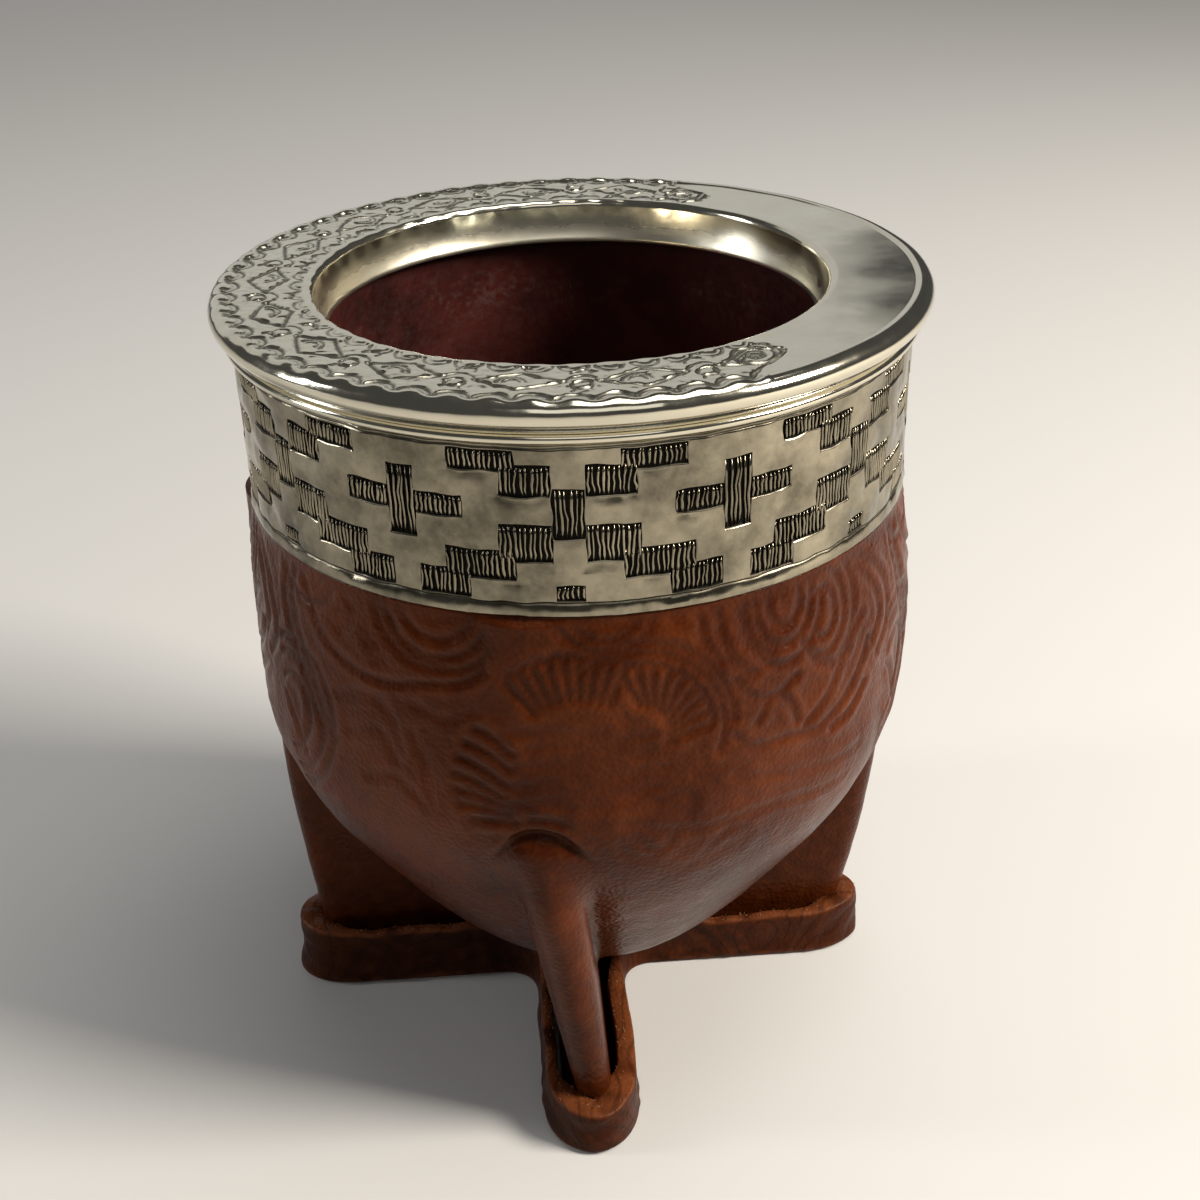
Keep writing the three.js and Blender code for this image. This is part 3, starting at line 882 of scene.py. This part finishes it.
# %% To the left: a ringed oval and a chain
left_lines = [
    bow(-150, 63, 9.6, 0, 360, 1.35, -32, 30), bow(-150, 63, 7.6, 0, 360, 1.35, -32, 26),
    bow(-150, 63, 4.4, -70, 160, 1.6, -32, 16), [(-154, 67), (-150.5, 64.5), (-148, 61), (-146.5, 58)],
    [(-146, 86), (-147, 81), (-144, 75), (-140, 69), (-137, 63)],
    [(-149, 86), (-149.5, 81), (-146.5, 74.5), (-142.5, 68.5), (-139.5, 63)],
]
for part in np.linspace(0, 1, 9):
    left_lines.append([(-149.4 + 10.4 * part, 81.5 - 17 * part), (-147.6 + 10.4 * part, 81.0 - 17 * part),
                       (-146.0 + 9.4 * part, 79.3 - 16 * part)])
deep_lines = front_lines + band_lines + right_lines + left_lines
print("lines to the left:", len(left_lines), "and deep lines in all:", len(deep_lines))

# %% Worn scrolls and creases of the hide
soft_lines = [
    [(-87, 57.3), (-82, 56), (-76, 55), (-70, 55.2), (-62, 55), (-52, 53.6), (-45, 53)],
    [(-82, 60.5), (-79, 61), (-76.5, 59.8), (-78, 57.8)], [(-80, 59), (-78, 58.7), (-77.5, 57.6)],
    [(-86, 55.5), (-84, 53), (-81, 52.5), (-80, 54.5)], [(-88, 54), (-86, 51.5), (-83, 51)],
    [(-77, 47.5), (-74, 50), (-71.5, 53), (-68, 53.5), (-66, 51)], [(-73, 48), (-70, 50.5), (-67, 49)],
    [(-70, 62), (-60, 59.5), (-50, 57.5), (-42, 57)], [(-120, 73), (-115, 72), (-110, 73.5)],
    [(-135, 71), (-128, 72.5), (-124, 70), (-123, 66)], [(-133, 66), (-127, 68), (-124, 64)],
    [(-130, 60), (-124, 61.5), (-119, 58)], [(-121, 69), (-118, 64), (-118, 59)],
    [(-112, 57), (-107, 58.2), (-102, 58.8), (-97, 58.6)], [(-128, 80), (-123, 82.5), (-126, 85.5)],
    [(-134, 80), (-131, 83), (-134, 86)],
]
for k, z in enumerate(np.linspace(60.5, 71, 12)):
    shift = (k * 37 % 11) - 5
    soft_lines.append([(-100 + shift, z), (-95 + shift * 0.6, z + 0.35), (-89 + shift * 0.4, z - 0.1),
                       (-85 + shift, z + 0.2)])
print("soft lines:", len(soft_lines))


# %% Distance from the lines
def through(points, steps=5):
    """A smooth run through the given points."""
    p = np.array(points, float) * (DEGREE, 1.0)
    p = np.concatenate([[2 * p[0] - p[1]], p, [2 * p[-1] - p[-2]]])
    out = []
    for a, b, c, d in zip(p, p[1:], p[2:], p[3:]):
        for t in np.arange(steps) / steps:
            out.append(0.5 * (2 * b + (c - a) * t + (2 * a - 5 * b + 4 * c - d) * t ** 2
                              + (3 * b - a - 3 * c + d) * t ** 3))
    return np.array(out + [p[-2]])


def nearest(lines, x, z, reach):
    """Distance of each point of the field to the nearest line, no further than reach."""
    gap = np.full(x.shape, reach)
    for run in map(through, lines):
        low, high = run.min(0) - reach, run.max(0) + reach
        here = (x > low[0]) & (x < high[0]) & (z > low[1]) & (z < high[1])
        px, pz, best = x[here], z[here], gap[here]
        for (ax, az), (bx, bz) in zip(run[:-1], run[1:]):
            dx, dz = bx - ax, bz - az
            t = np.clip(((px - ax) * dx + (pz - az) * dz) / (dx * dx + dz * dz + 1e-9), 0, 1)
            best = np.minimum(best, np.hypot(px - ax - t * dx, pz - az - t * dz))
        gap[here] = best
    return gap


# %% Grooves and the swell beside them
FIELD_START, FIELD_TURN, LINE_REACH = -152, 120, 3.2


def tooling(rows, stand):
    """Depth of the tooled surface and its mark."""
    azimuth = np.degrees(np.arctan2(rows[..., 1], rows[..., 0]))
    field = ((azimuth - FIELD_START) % FIELD_TURN + FIELD_START) * DEGREE
    deep, soft = (nearest(lines, field, rows[..., 2], LINE_REACH) for lines in (deep_lines, soft_lines))
    worn = 0.8 + 0.2 * np.clip(hand_wobble(rows, 13.0, 33), -1, 1)
    groove = -0.3 * worn * crest(deep, 0.6) - 0.14 * worn * crest(soft, 0.8)
    swell = 0.18 * worn * crest(deep - 1.3, 0.75) + 0.07 * crest(soft - 1.5, 0.75)
    relief = (groove + swell) * (1 - stand)
    return relief, (np.clip(groove / 0.34, -1, 0) + swell) * (1 - stand)


# %% [markdown]
# Where each fin starts, the leather was pushed together and lies in a few short folds above it. They are
# arcs over the fin's head, deepest in the middle. Their creases are also painted darker through the mark,
# a painted shade.

# %% Folds above the fins
FOLDS = ((56.0, 1.1, 5.8, 0.0), (58.1, 0.4, 4.2, 0.1))


def fin_folds(rows):
    azimuth = np.degrees(np.arctan2(rows[..., 1], rows[..., 0]))
    uneven = 0.25 * hand_wobble(rows, 7.0, 34)
    relief = np.zeros(azimuth.shape)
    for fin in fins:
        middle = fin.turn + math.degrees(math.asin(fin.top_side / BODY_R)) * 0.95
        x = ((azimuth - middle + 180) % 360 - 180) * DEGREE
        for height, depth, half, lean in FOLDS:
            above = rows[..., 2] - (height - 0.11 * x * x + lean * x + uneven)
            shape = crest(above, 1.05) - 0.35 * crest(above - 1.5, 0.9)
            relief -= depth * shape * np.exp(-(x / half) ** 4)
    return relief


def pressed(rows, stand):
    """The levels with tooling, folds and the small unevenness of the hide, and their mark, with painted
    shade in the folds.
    """
    relief, mark = tooling(rows, stand)
    folds = fin_folds(rows) * (1 - stand)
    uneven = 0.16 * hand_wobble(rows, 17.0, 31) + 0.05 * hand_wobble(rows, 5.0, 32)
    lift = (relief + folds + uneven) * eased(rows[..., 2], 86.3, 84.0)
    out = rows.copy()
    away = rows[..., :2] / np.maximum(np.linalg.norm(rows[..., :2], axis=-1, keepdims=True), 1)
    out[..., :2] += away * lift[..., None]
    # Painted shade: the folds also go into the mark, which darkens the colour in their creases.
    return out, np.clip(mark + folds * 1.4, -1, 1)


upper, upper_mark = pressed(upper_rows, upper_stand)
lower, lower_mark = pressed(lower_rows, lower_stand)
print("deepest tooled mark:", upper_mark.min().round(2))

# %% [markdown]
# The skin is closed round its top edge and down inside, against the gourd. Below, each fin's foot is
# closed by rungs from wall to wall, and one face fills the ring between the four fins.

# %% Top edge and inside of the cover
COVER_THICK = 1.8
top_turn = np.arctan2(upper[-1, :, 1], upper[-1, :, 0])
inner_line = body_line(COVER_THICK)
edge_line = [(45.36, 86.5), (45.36, 86.86), (45.0, 86.88), (44.5, 86.88)]
for z in (80.0, 66.0, 52.0, 40.0, 28.0, 18.0, 10.5):
    edge_line.append((np.interp(z, inner_line[:, 1], inner_line[:, 0]), z))
edge_r, edge_z = (values[:, None] for values in np.array(edge_line).T)
edge_rows = np.stack([edge_r * np.cos(top_turn), edge_r * np.sin(top_turn), edge_z + 0 * top_turn], -1)
upper = np.concatenate([upper, edge_rows])
upper_mark = np.concatenate([upper_mark, np.zeros(edge_rows.shape[:2])])
print("rows round the edge and inside:", len(edge_rows))

# %% The cover's mesh
few, many = lower.shape[1], upper.shape[1]
start = len(lower) * few
cover_faces = ring_faces(len(lower), few) + ring_faces(len(upper), many, start)
for j in range(few):
    a, b = start - few + j, start - few + (j + 1) % few
    left, middle, right = start + 2 * j, start + 2 * j + 1, start + (2 * j + 2) % many
    cover_faces += [[a, b, middle], [a, middle, left], [b, right, middle]]
quarter_few = QUARTER_STEPS // 2
middle_ring = []
for first in range(0, few, quarter_few):
    standing = [first + i for i in range(quarter_few) if lower_stand[0, first + i] > 0.05]
    a, b = standing[0] - 1, standing[-1] + 1
    for i in range((b - a) // 2):
        rung = (b - i, b - i - 1, a + i + 1, a + i)
        cover_faces.append(list(dict.fromkeys(rung)))
    middle_ring += list(range(first, a + 1)) + list(range(b, first + quarter_few))
cover_faces.append(middle_ring[::-1])
cover_faces.append(list(range(start + (len(upper) - 1) * many, start + len(upper) * many)))
cover_points = np.concatenate([lower.reshape(-1, 3), upper.reshape(-1, 3)])
leather_cover = skin_piece("moulded_cover", cover_points, cover_faces, cover_leather,
                           {"tooling": np.concatenate([lower_mark.ravel(), upper_mark.ravel()])})

# %% [markdown]
# ## The gourd
# Inside is the gourd itself, cut open at the top and darkened by use. Only its hollow shows. It is
# turned from a profile like a pot on a wheel, with a slow wobble in the hollow. The mark "dust" lets the
# pale bloom gather under the collar.

# %% The gourd's profile, up the outside and down the hollow
COVER_GAP, GOURD_WALL = 2.1, 5.0
GOURD_TOP_R, HOLLOW_BOWL_Z = 44.1, 84.0
GOURD_STEPS = 180
gourd_out = body_line(COVER_GAP, 30)
gourd_out[-1, 0] = GOURD_TOP_R
gourd_in = body_line(COVER_GAP + GOURD_WALL, 36)[::-1]
gourd_in = gourd_in[gourd_in[:, 1] < HOLLOW_BOWL_Z]
gourd_mouth = [(GOURD_TOP_R, 100.0), (GOURD_TOP_R, 111.9), (43.8, 112.2), (35.3, 112.2), (35.0, 111.9),
               (35.0, 109.5), (35.05, 107.5), (35.6, 105.6), (36.4, 101.0), (37.4, 95.0), (38.2, 90.0)]
gourd_profile = np.concatenate([gourd_out[1:], gourd_mouth, gourd_in[:-1]])
print("gourd profile has", len(gourd_profile), "points")

# %% The gourd's mesh
gourd_turn = np.linspace(0, 2 * math.pi, GOURD_STEPS, endpoint=False)
gr, gt = np.meshgrid(gourd_profile[:, 0], gourd_turn, indexing="ij")
gz = np.repeat(gourd_profile[:, 1:], GOURD_STEPS, 1)
gourd_points = np.stack([gr * np.cos(gt), gr * np.sin(gt), gz], -1)
in_hollow = (np.arange(len(gourd_profile)) > len(gourd_out) + 6)[:, None]
wobble = 0.3 * hand_wobble(gourd_points, 21.0, 41) * in_hollow
gourd_points[..., :2] *= 1 + (wobble / np.maximum(gr, 4))[..., None]
gourd_dust = eased(gourd_points[..., 2], 97.0, 109.0) * in_hollow
last_ring = (len(gourd_profile) - 1) * GOURD_STEPS
gourd_faces = ring_faces(len(gourd_profile), GOURD_STEPS)
gourd_faces += [list(range(GOURD_STEPS))[::-1], list(range(last_ring, last_ring + GOURD_STEPS))]
gourd = skin_piece("gourd_shell", gourd_points, gourd_faces, gourd_skin, {"dust": gourd_dust})

# %% [markdown]
# ## The foot
# A leather strip stands on edge round the four toes and binds fins and sole together. Its upper edge was
# cut by hand and stays raw and pale, its lower edge is pressed out where it meets the table. The outline
# is the cross of the solids, walked in equal steps, and the strip's section is lofted along it.

# %% The cross-shaped outline
FOOT_SHIFT = -2.8
TOES = (46.4, 45.9, 44.6, 45.9)
ARM_HALF, TOE_CAP, CROTCH = 6.5, 9.5, 5.5
STRIP_STEPS, SOLE_STEPS = 760, 300


def cross_line(inset, count):
    """The foot's outline moved inward, as evenly spaced points anticlockwise."""
    half, cap, bend = ARM_HALF - inset, TOE_CAP - inset * 0.5, CROTCH + inset
    points = []
    for arm, toe in enumerate(TOES):
        tip = toe - inset
        local = [(half + bend, -half), (tip - cap, -half)]
        for a in np.linspace(-math.pi / 2, math.pi / 2, 33)[1:-1]:
            local.append((tip - cap + cap * math.cos(a), half * math.sin(a)))
        local += [(tip - cap, half), (half + bend, half)]
        for a in np.radians(np.linspace(-90, -180, 13))[1:-1]:
            local.append((half + bend + bend * math.cos(a), half + bend + bend * math.sin(a)))
        c, s = round(math.cos(arm * math.pi / 2)), round(math.sin(arm * math.pi / 2))
        points += [(x * c - y * s + FOOT_SHIFT, x * s + y * c) for x, y in local]
    return even_steps(np.array(points + points[:1]), count)


foot_line = cross_line(0.0, STRIP_STEPS)
ahead = np.roll(foot_line, -3, 0) - np.roll(foot_line, 3, 0)
foot_away = np.stack([ahead[:, 1], -ahead[:, 0]], -1) / np.linalg.norm(ahead, axis=1, keepdims=True)
print("foot outline reaches", foot_line.min(0).round(1), foot_line.max(0).round(1))

# %% Height of the strip round the foot
STRIP_HEIGHTS = np.array((7.4, 8.0, 9.6, 6.8))
quarter = np.arctan2(foot_line[:, 1], foot_line[:, 0] - FOOT_SHIFT) / (math.pi / 2)
arm_before = np.floor(quarter).astype(int)
height_before, height_after = (STRIP_HEIGHTS[(arm_before + k) % 4] for k in (4, 5))
strip_top = height_before + (height_after - height_before) * eased(quarter - arm_before, 0.0, 1.0)
bowl = body[:LOW_STEPS + 1]
bowl_floor = np.interp(np.hypot(*foot_line.T), bowl[:, 0], bowl[:, 1]) - 0.7
strip_top = np.minimum(strip_top, bowl_floor)
print("strip height from", strip_top.min().round(1), "to", strip_top.max().round(1))

# %% [markdown]
# The strip's section starts at the table, climbs the outside, turns over the raw edge and goes down the
# inside. Each of its points is a distance outward and a share of the height. The strip is thicker at the
# toes' noses, and down the right side of the front toe.

# %% Section of the strip, and where it is thick
side_share = np.linspace(0.05, 0.92, 15)
side_out = np.interp(side_share, [0.05, 0.16, 0.3, 0.5, 0.75, 0.92], [0.62, 0.46, 0.2, 0.03, 0.02, 0.06])
EDGE_CREST = -0.8
raw_edge = [(-0.06, 0.975), (-0.3, 1.0), (EDGE_CREST, 1.01), (-1.3, 1.0), (-1.58, 0.97)]
inside = [(-1.65, 0.9), (-1.65, 0.5), (-1.65, 0.1), (-1.6, 0.0)]
strip_section = [(0.45, 0.0)] + list(zip(side_out, side_share)) + raw_edge + inside
from_middle = np.abs(foot_line - (FOOT_SHIFT, 0)).max(1)
nose = eased(from_middle, 35.0, 43.0)
front_right = eased(foot_line[:, 1], -12.0, -20.0) * eased(foot_line[:, 0], FOOT_SHIFT, 0.0)
thicker = 1.9 * nose + 1.1 * front_right
print("strip section has", len(strip_section), "points, thickened by up to", thicker.max().round(1), "mm")

# %% The strip's mesh
ground_line = np.concatenate([foot_line, np.zeros((STRIP_STEPS, 1))], 1)
top_wave = 0.28 * hand_wobble(ground_line, 13.0, 51) + 0.14 * hand_wobble(ground_line, 4.5, 52)
edge_wear = 0.65 + 0.35 * hand_wobble(ground_line, 6.0, 54)
strip_rows, strip_mark = [], []
for out, share in strip_section:
    z = share * (strip_top + top_wave * (share > 0.3))
    place = np.concatenate([foot_line, 1.3 * z[:, None]], 1)
    off_table = share > 0.02
    on_outside = eased(out, -0.3, 0.0) * off_table * eased(share, 0.95, 0.8)
    grain = np.sin(2 * math.pi * 2.4 * hand_wobble(place, 30.0, 55)) * on_outside
    bulge = 0.22 * hand_wobble(place, 14.0, 53) * off_table
    left_toe = 0.5 * eased(foot_line[:, 0], -38, -46) * eased(share, 0.5, 0.05) * (out > -1)
    inward = thicker * ((out < -1.2) + 0.5 * (out == EDGE_CREST))
    shift = out + bulge + 0.09 * grain + left_toe - inward
    strip_rows.append(np.concatenate([foot_line + foot_away * shift[:, None], z[:, None]], 1))
    rubbed = max(crest(share - 1.0, 0.06), 0.6 * crest(share, 0.09))
    strip_mark.append(rubbed * edge_wear + 0.3 * np.minimum(grain, 0))
foot_strip_faces = ring_faces(len(strip_section), STRIP_STEPS, closed=True)
foot_strip = skin_piece("binding_strip", np.stack(strip_rows), foot_strip_faces, foot_leather,
                        {"tooling": np.stack(strip_mark)})

# %% [markdown]
# The raw edge isn't clean: short pale fibres stand up from the cut. A hair system would do, but hair is
# not a mesh. Geometry Nodes sets a thin three-sided spike on each of many points scattered over the edge
# and leans every one its own way, with a fixed seed.

# %% Points for fibres on the raw edge
FIBRES = 1100
fibre_finish, fibre_tree, fibre_skin = new_finish("raw_fibre")
fibre_tone = blend_colour(fibre_tree, spread(fibre_tree, mottle(fibre_tree, 300.0), 0.35, 0.65, 0.0, 1.0),
                          (0.20, 0.075, 0.028, 1), (0.36, 0.19, 0.095, 1))
fibre_tree.links.new(fibre_tone, fibre_skin.inputs["Base Color"])
fibre_skin.inputs["Roughness"].default_value = 0.7
edge_points = np.concatenate([row for row, (out, share) in zip(strip_rows, strip_section) if share > 0.99])
picked = np.random.default_rng(61).choice(len(edge_points), FIBRES, replace=False)
edge_fibres = skin_piece("edge_fibres", edge_points[picked], [], fibre_finish)


# %% Geometry Nodes: a leaning spike on each point
def fibres_tree():
    inputs = {"Spots": "Geometry", "Length": "Float", "Thickness": "Float", "Seed": "Int",
              "Finish": "Material"}
    tree, given = new_tree("fibres_on_the_edge", inputs, "Fibres")
    spike = add_node(tree, "GeometryNodeMeshCone", {"fill_type": "TRIANGLE_FAN"}, Vertices=3,
                     Radius_Bottom=given["Thickness"], Depth=given["Length"])
    lean = add_node(tree, "FunctionNodeRandomValue", {"data_type": "FLOAT_VECTOR"}, n0=(-1.2, -1.2, -3.1),
                    n1=(1.2, 1.2, 3.1), Seed=given["Seed"])
    size = add_node(tree, "FunctionNodeRandomValue", {"data_type": "FLOAT"}, n2=0.4, n3=1.2,
                    Seed=given["Seed"])
    placed = add_node(tree, "GeometryNodeInstanceOnPoints", None, Points=given["Spots"],
                      Instance=spike.outputs[0], Rotation=lean.outputs[0], Scale=size.outputs[1])
    real = add_node(tree, "GeometryNodeRealizeInstances", None, Geometry=placed.outputs[0])
    return end_tree(tree, real.outputs[0], given["Finish"])


run_tree(edge_fibres, fibres_tree(), Length=0.55 * MM, Thickness=0.06 * MM, Seed=5, Finish=fibre_finish)

# %% [markdown]
# The sole is a flat piece of the same leather inside the strip. It is cut to the cross's outline, with
# its edges rounded a little.

# %% The sole
SOLE_INSET = 2.3
sole_edge = ((0.3, 0.0), (0.05, 0.25), (0.0, 1.1), (0.05, 1.95), (0.3, SOLE_Z))
sole_rows = []
for inset, z in sole_edge:
    outline = cross_line(SOLE_INSET + inset, SOLE_STEPS)
    sole_rows.append(np.concatenate([outline, np.full((SOLE_STEPS, 1), z)], 1))
top_ring = (len(sole_edge) - 1) * SOLE_STEPS
sole_faces = ring_faces(len(sole_edge), SOLE_STEPS)
sole_faces += [list(range(SOLE_STEPS))[::-1], list(range(top_ring, top_ring + SOLE_STEPS))]
unworn = np.zeros(len(sole_edge) * SOLE_STEPS)
sole = skin_piece("cut_sole", np.stack(sole_rows), sole_faces, foot_leather, {"tooling": unworn})

# %% [markdown]
# ## Which solid each piece stands for
# Every piece rides on the one body of the cup, takes the place of its solid, and names the slot that a
# scene can repaint.

# %% Frame calls
dressed = [(rim, "rim", "rim_metal"), (pattern_band, "pattern_band", "band_metal"),
           (band_ridges, "pattern_band", "band_metal"), (gourd, "gourd", "gourd_skin"),
           (leather_cover, "leather_cover", "cover_leather"), (foot_strip, "foot_strip", "foot_leather"),
           (edge_fibres, "foot_strip", "foot_leather"),
           (sole, "sole", "foot_leather")]
for piece, node, slot in dressed:
    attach(piece, "root")
    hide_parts(node)
print("pieces:", [piece.name for piece, _, _ in dressed])

# %% [markdown]
# ## Floor, light and camera
# A plain pale floor and soft studio light. Polished metal shows whatever stands around it, so a few large
# soft lights and a dim room give it bright and dark bands. The camera stands where the photograph was
# taken: close, a little above the rim, looking down.

# %% Floor
FLOOR_HALF = 3.0
floor_finish, _, floor_skin = new_finish("pale_floor")
floor_skin.inputs["Base Color"].default_value = (0.54, 0.53, 0.51, 1)
floor_skin.inputs["Roughness"].default_value = 0.75
floor_mesh = bpy.data.meshes.new("floor")
floor_corners = [(x * FLOOR_HALF, y * FLOOR_HALF, 0) for x, y in ((-1, -1), (1, -1), (1, 1), (-1, 1))]
floor_mesh.from_pydata(floor_corners, [], [[0, 1, 2, 3]])
floor_mesh.materials.append(floor_finish)
floor = bpy.data.objects.new("floor", floor_mesh)
bpy.context.collection.objects.link(floor)
floor.location.z = -0.4 * MM
print("floor is", 2 * FLOOR_HALF, "m wide")


# %% Lights
def soft_light(name, place, aim, size, power, colour):
    light = bpy.data.lights.new(name, "AREA")
    light.shape = "RECTANGLE"
    light.size, light.size_y = size
    light.energy = power
    light.color = colour
    lamp = bpy.data.objects.new(name, light)
    lamp.location = place
    lamp.rotation_euler = (Vector(place) - Vector(aim)).to_track_quat("Z", "Y").to_euler()
    bpy.context.collection.objects.link(lamp)


soft_light("overhead", (0.22, 0.0, 0.95), (0, 0, 0.08), (0.5, 0.5), 3.4, (1.0, 0.98, 0.95))
soft_light("right_key", (0.70, -0.24, 0.62), (0, 0, 0.07), (0.3, 0.3), 15.5, (1.0, 0.93, 0.84))
soft_light("window_left", (-0.85, 0.02, 0.36), (0, 0, 0.07), (0.14, 0.45), 2.4, (0.95, 0.97, 1.0))
soft_light("back_card", (-0.375, 1.25, 0.62), (0, 0, 0.1), (1.6, 1.0), 2.6, (1.0, 1.0, 1.0))
soft_light("front_card", (0.05, -0.85, 0.76), (0, 0, 0.1), (0.7, 0.45), 1.0, (1.0, 0.98, 0.95))

# %% The dim room
world = bpy.data.worlds.new("room")
bpy.context.scene.world = world
world.use_nodes = True
room = world.node_tree.nodes["Background"]
room.inputs["Color"].default_value = (0.80, 0.81, 0.83, 1)
room.inputs["Strength"].default_value = 0.08
bpy.context.scene.view_settings.view_transform = "Standard"
print("lights and room are set")

# %% [markdown]
# The camera's distance, height, lens and small turns were fitted to the outlines of rim, band and foot in
# the photograph. Its three directions and its place are the four columns of one matrix.

# %% Camera
CAMERA_BACK, CAMERA_UP = 217.478, 183.634
YAW, PITCH, ROLL, TURN = 0.0122635, 0.5023282, -0.0276146, 0.05036
ahead_way = np.array([math.sin(YAW) * math.cos(PITCH), math.cos(YAW) * math.cos(PITCH), -math.sin(PITCH)])
right_way = np.array([math.cos(YAW), -math.sin(YAW), 0.0])
up_way = np.cross(right_way, ahead_way)
rolled_right = math.cos(ROLL) * right_way + math.sin(ROLL) * up_way
rolled_up = -math.sin(ROLL) * right_way + math.cos(ROLL) * up_way
stand_point = np.array([0, -CAMERA_BACK, CAMERA_UP]) * MM
columns = np.stack([rolled_right, rolled_up, -ahead_way, stand_point], 1)
view_matrix = Matrix([*columns.tolist(), [0, 0, 0, 1]])
lens = bpy.data.cameras.new("camera")
lens.sensor_width = 36.0
lens.lens = 50.186
lens.clip_start = 0.01
camera = bpy.data.objects.new("camera", lens)
bpy.context.collection.objects.link(camera)
camera.matrix_world = Matrix.Rotation(-TURN, 4, "Z") @ view_matrix
bpy.context.scene.camera = camera
print("camera stands at", [round(v / MM, 1) for v in camera.matrix_world.translation])
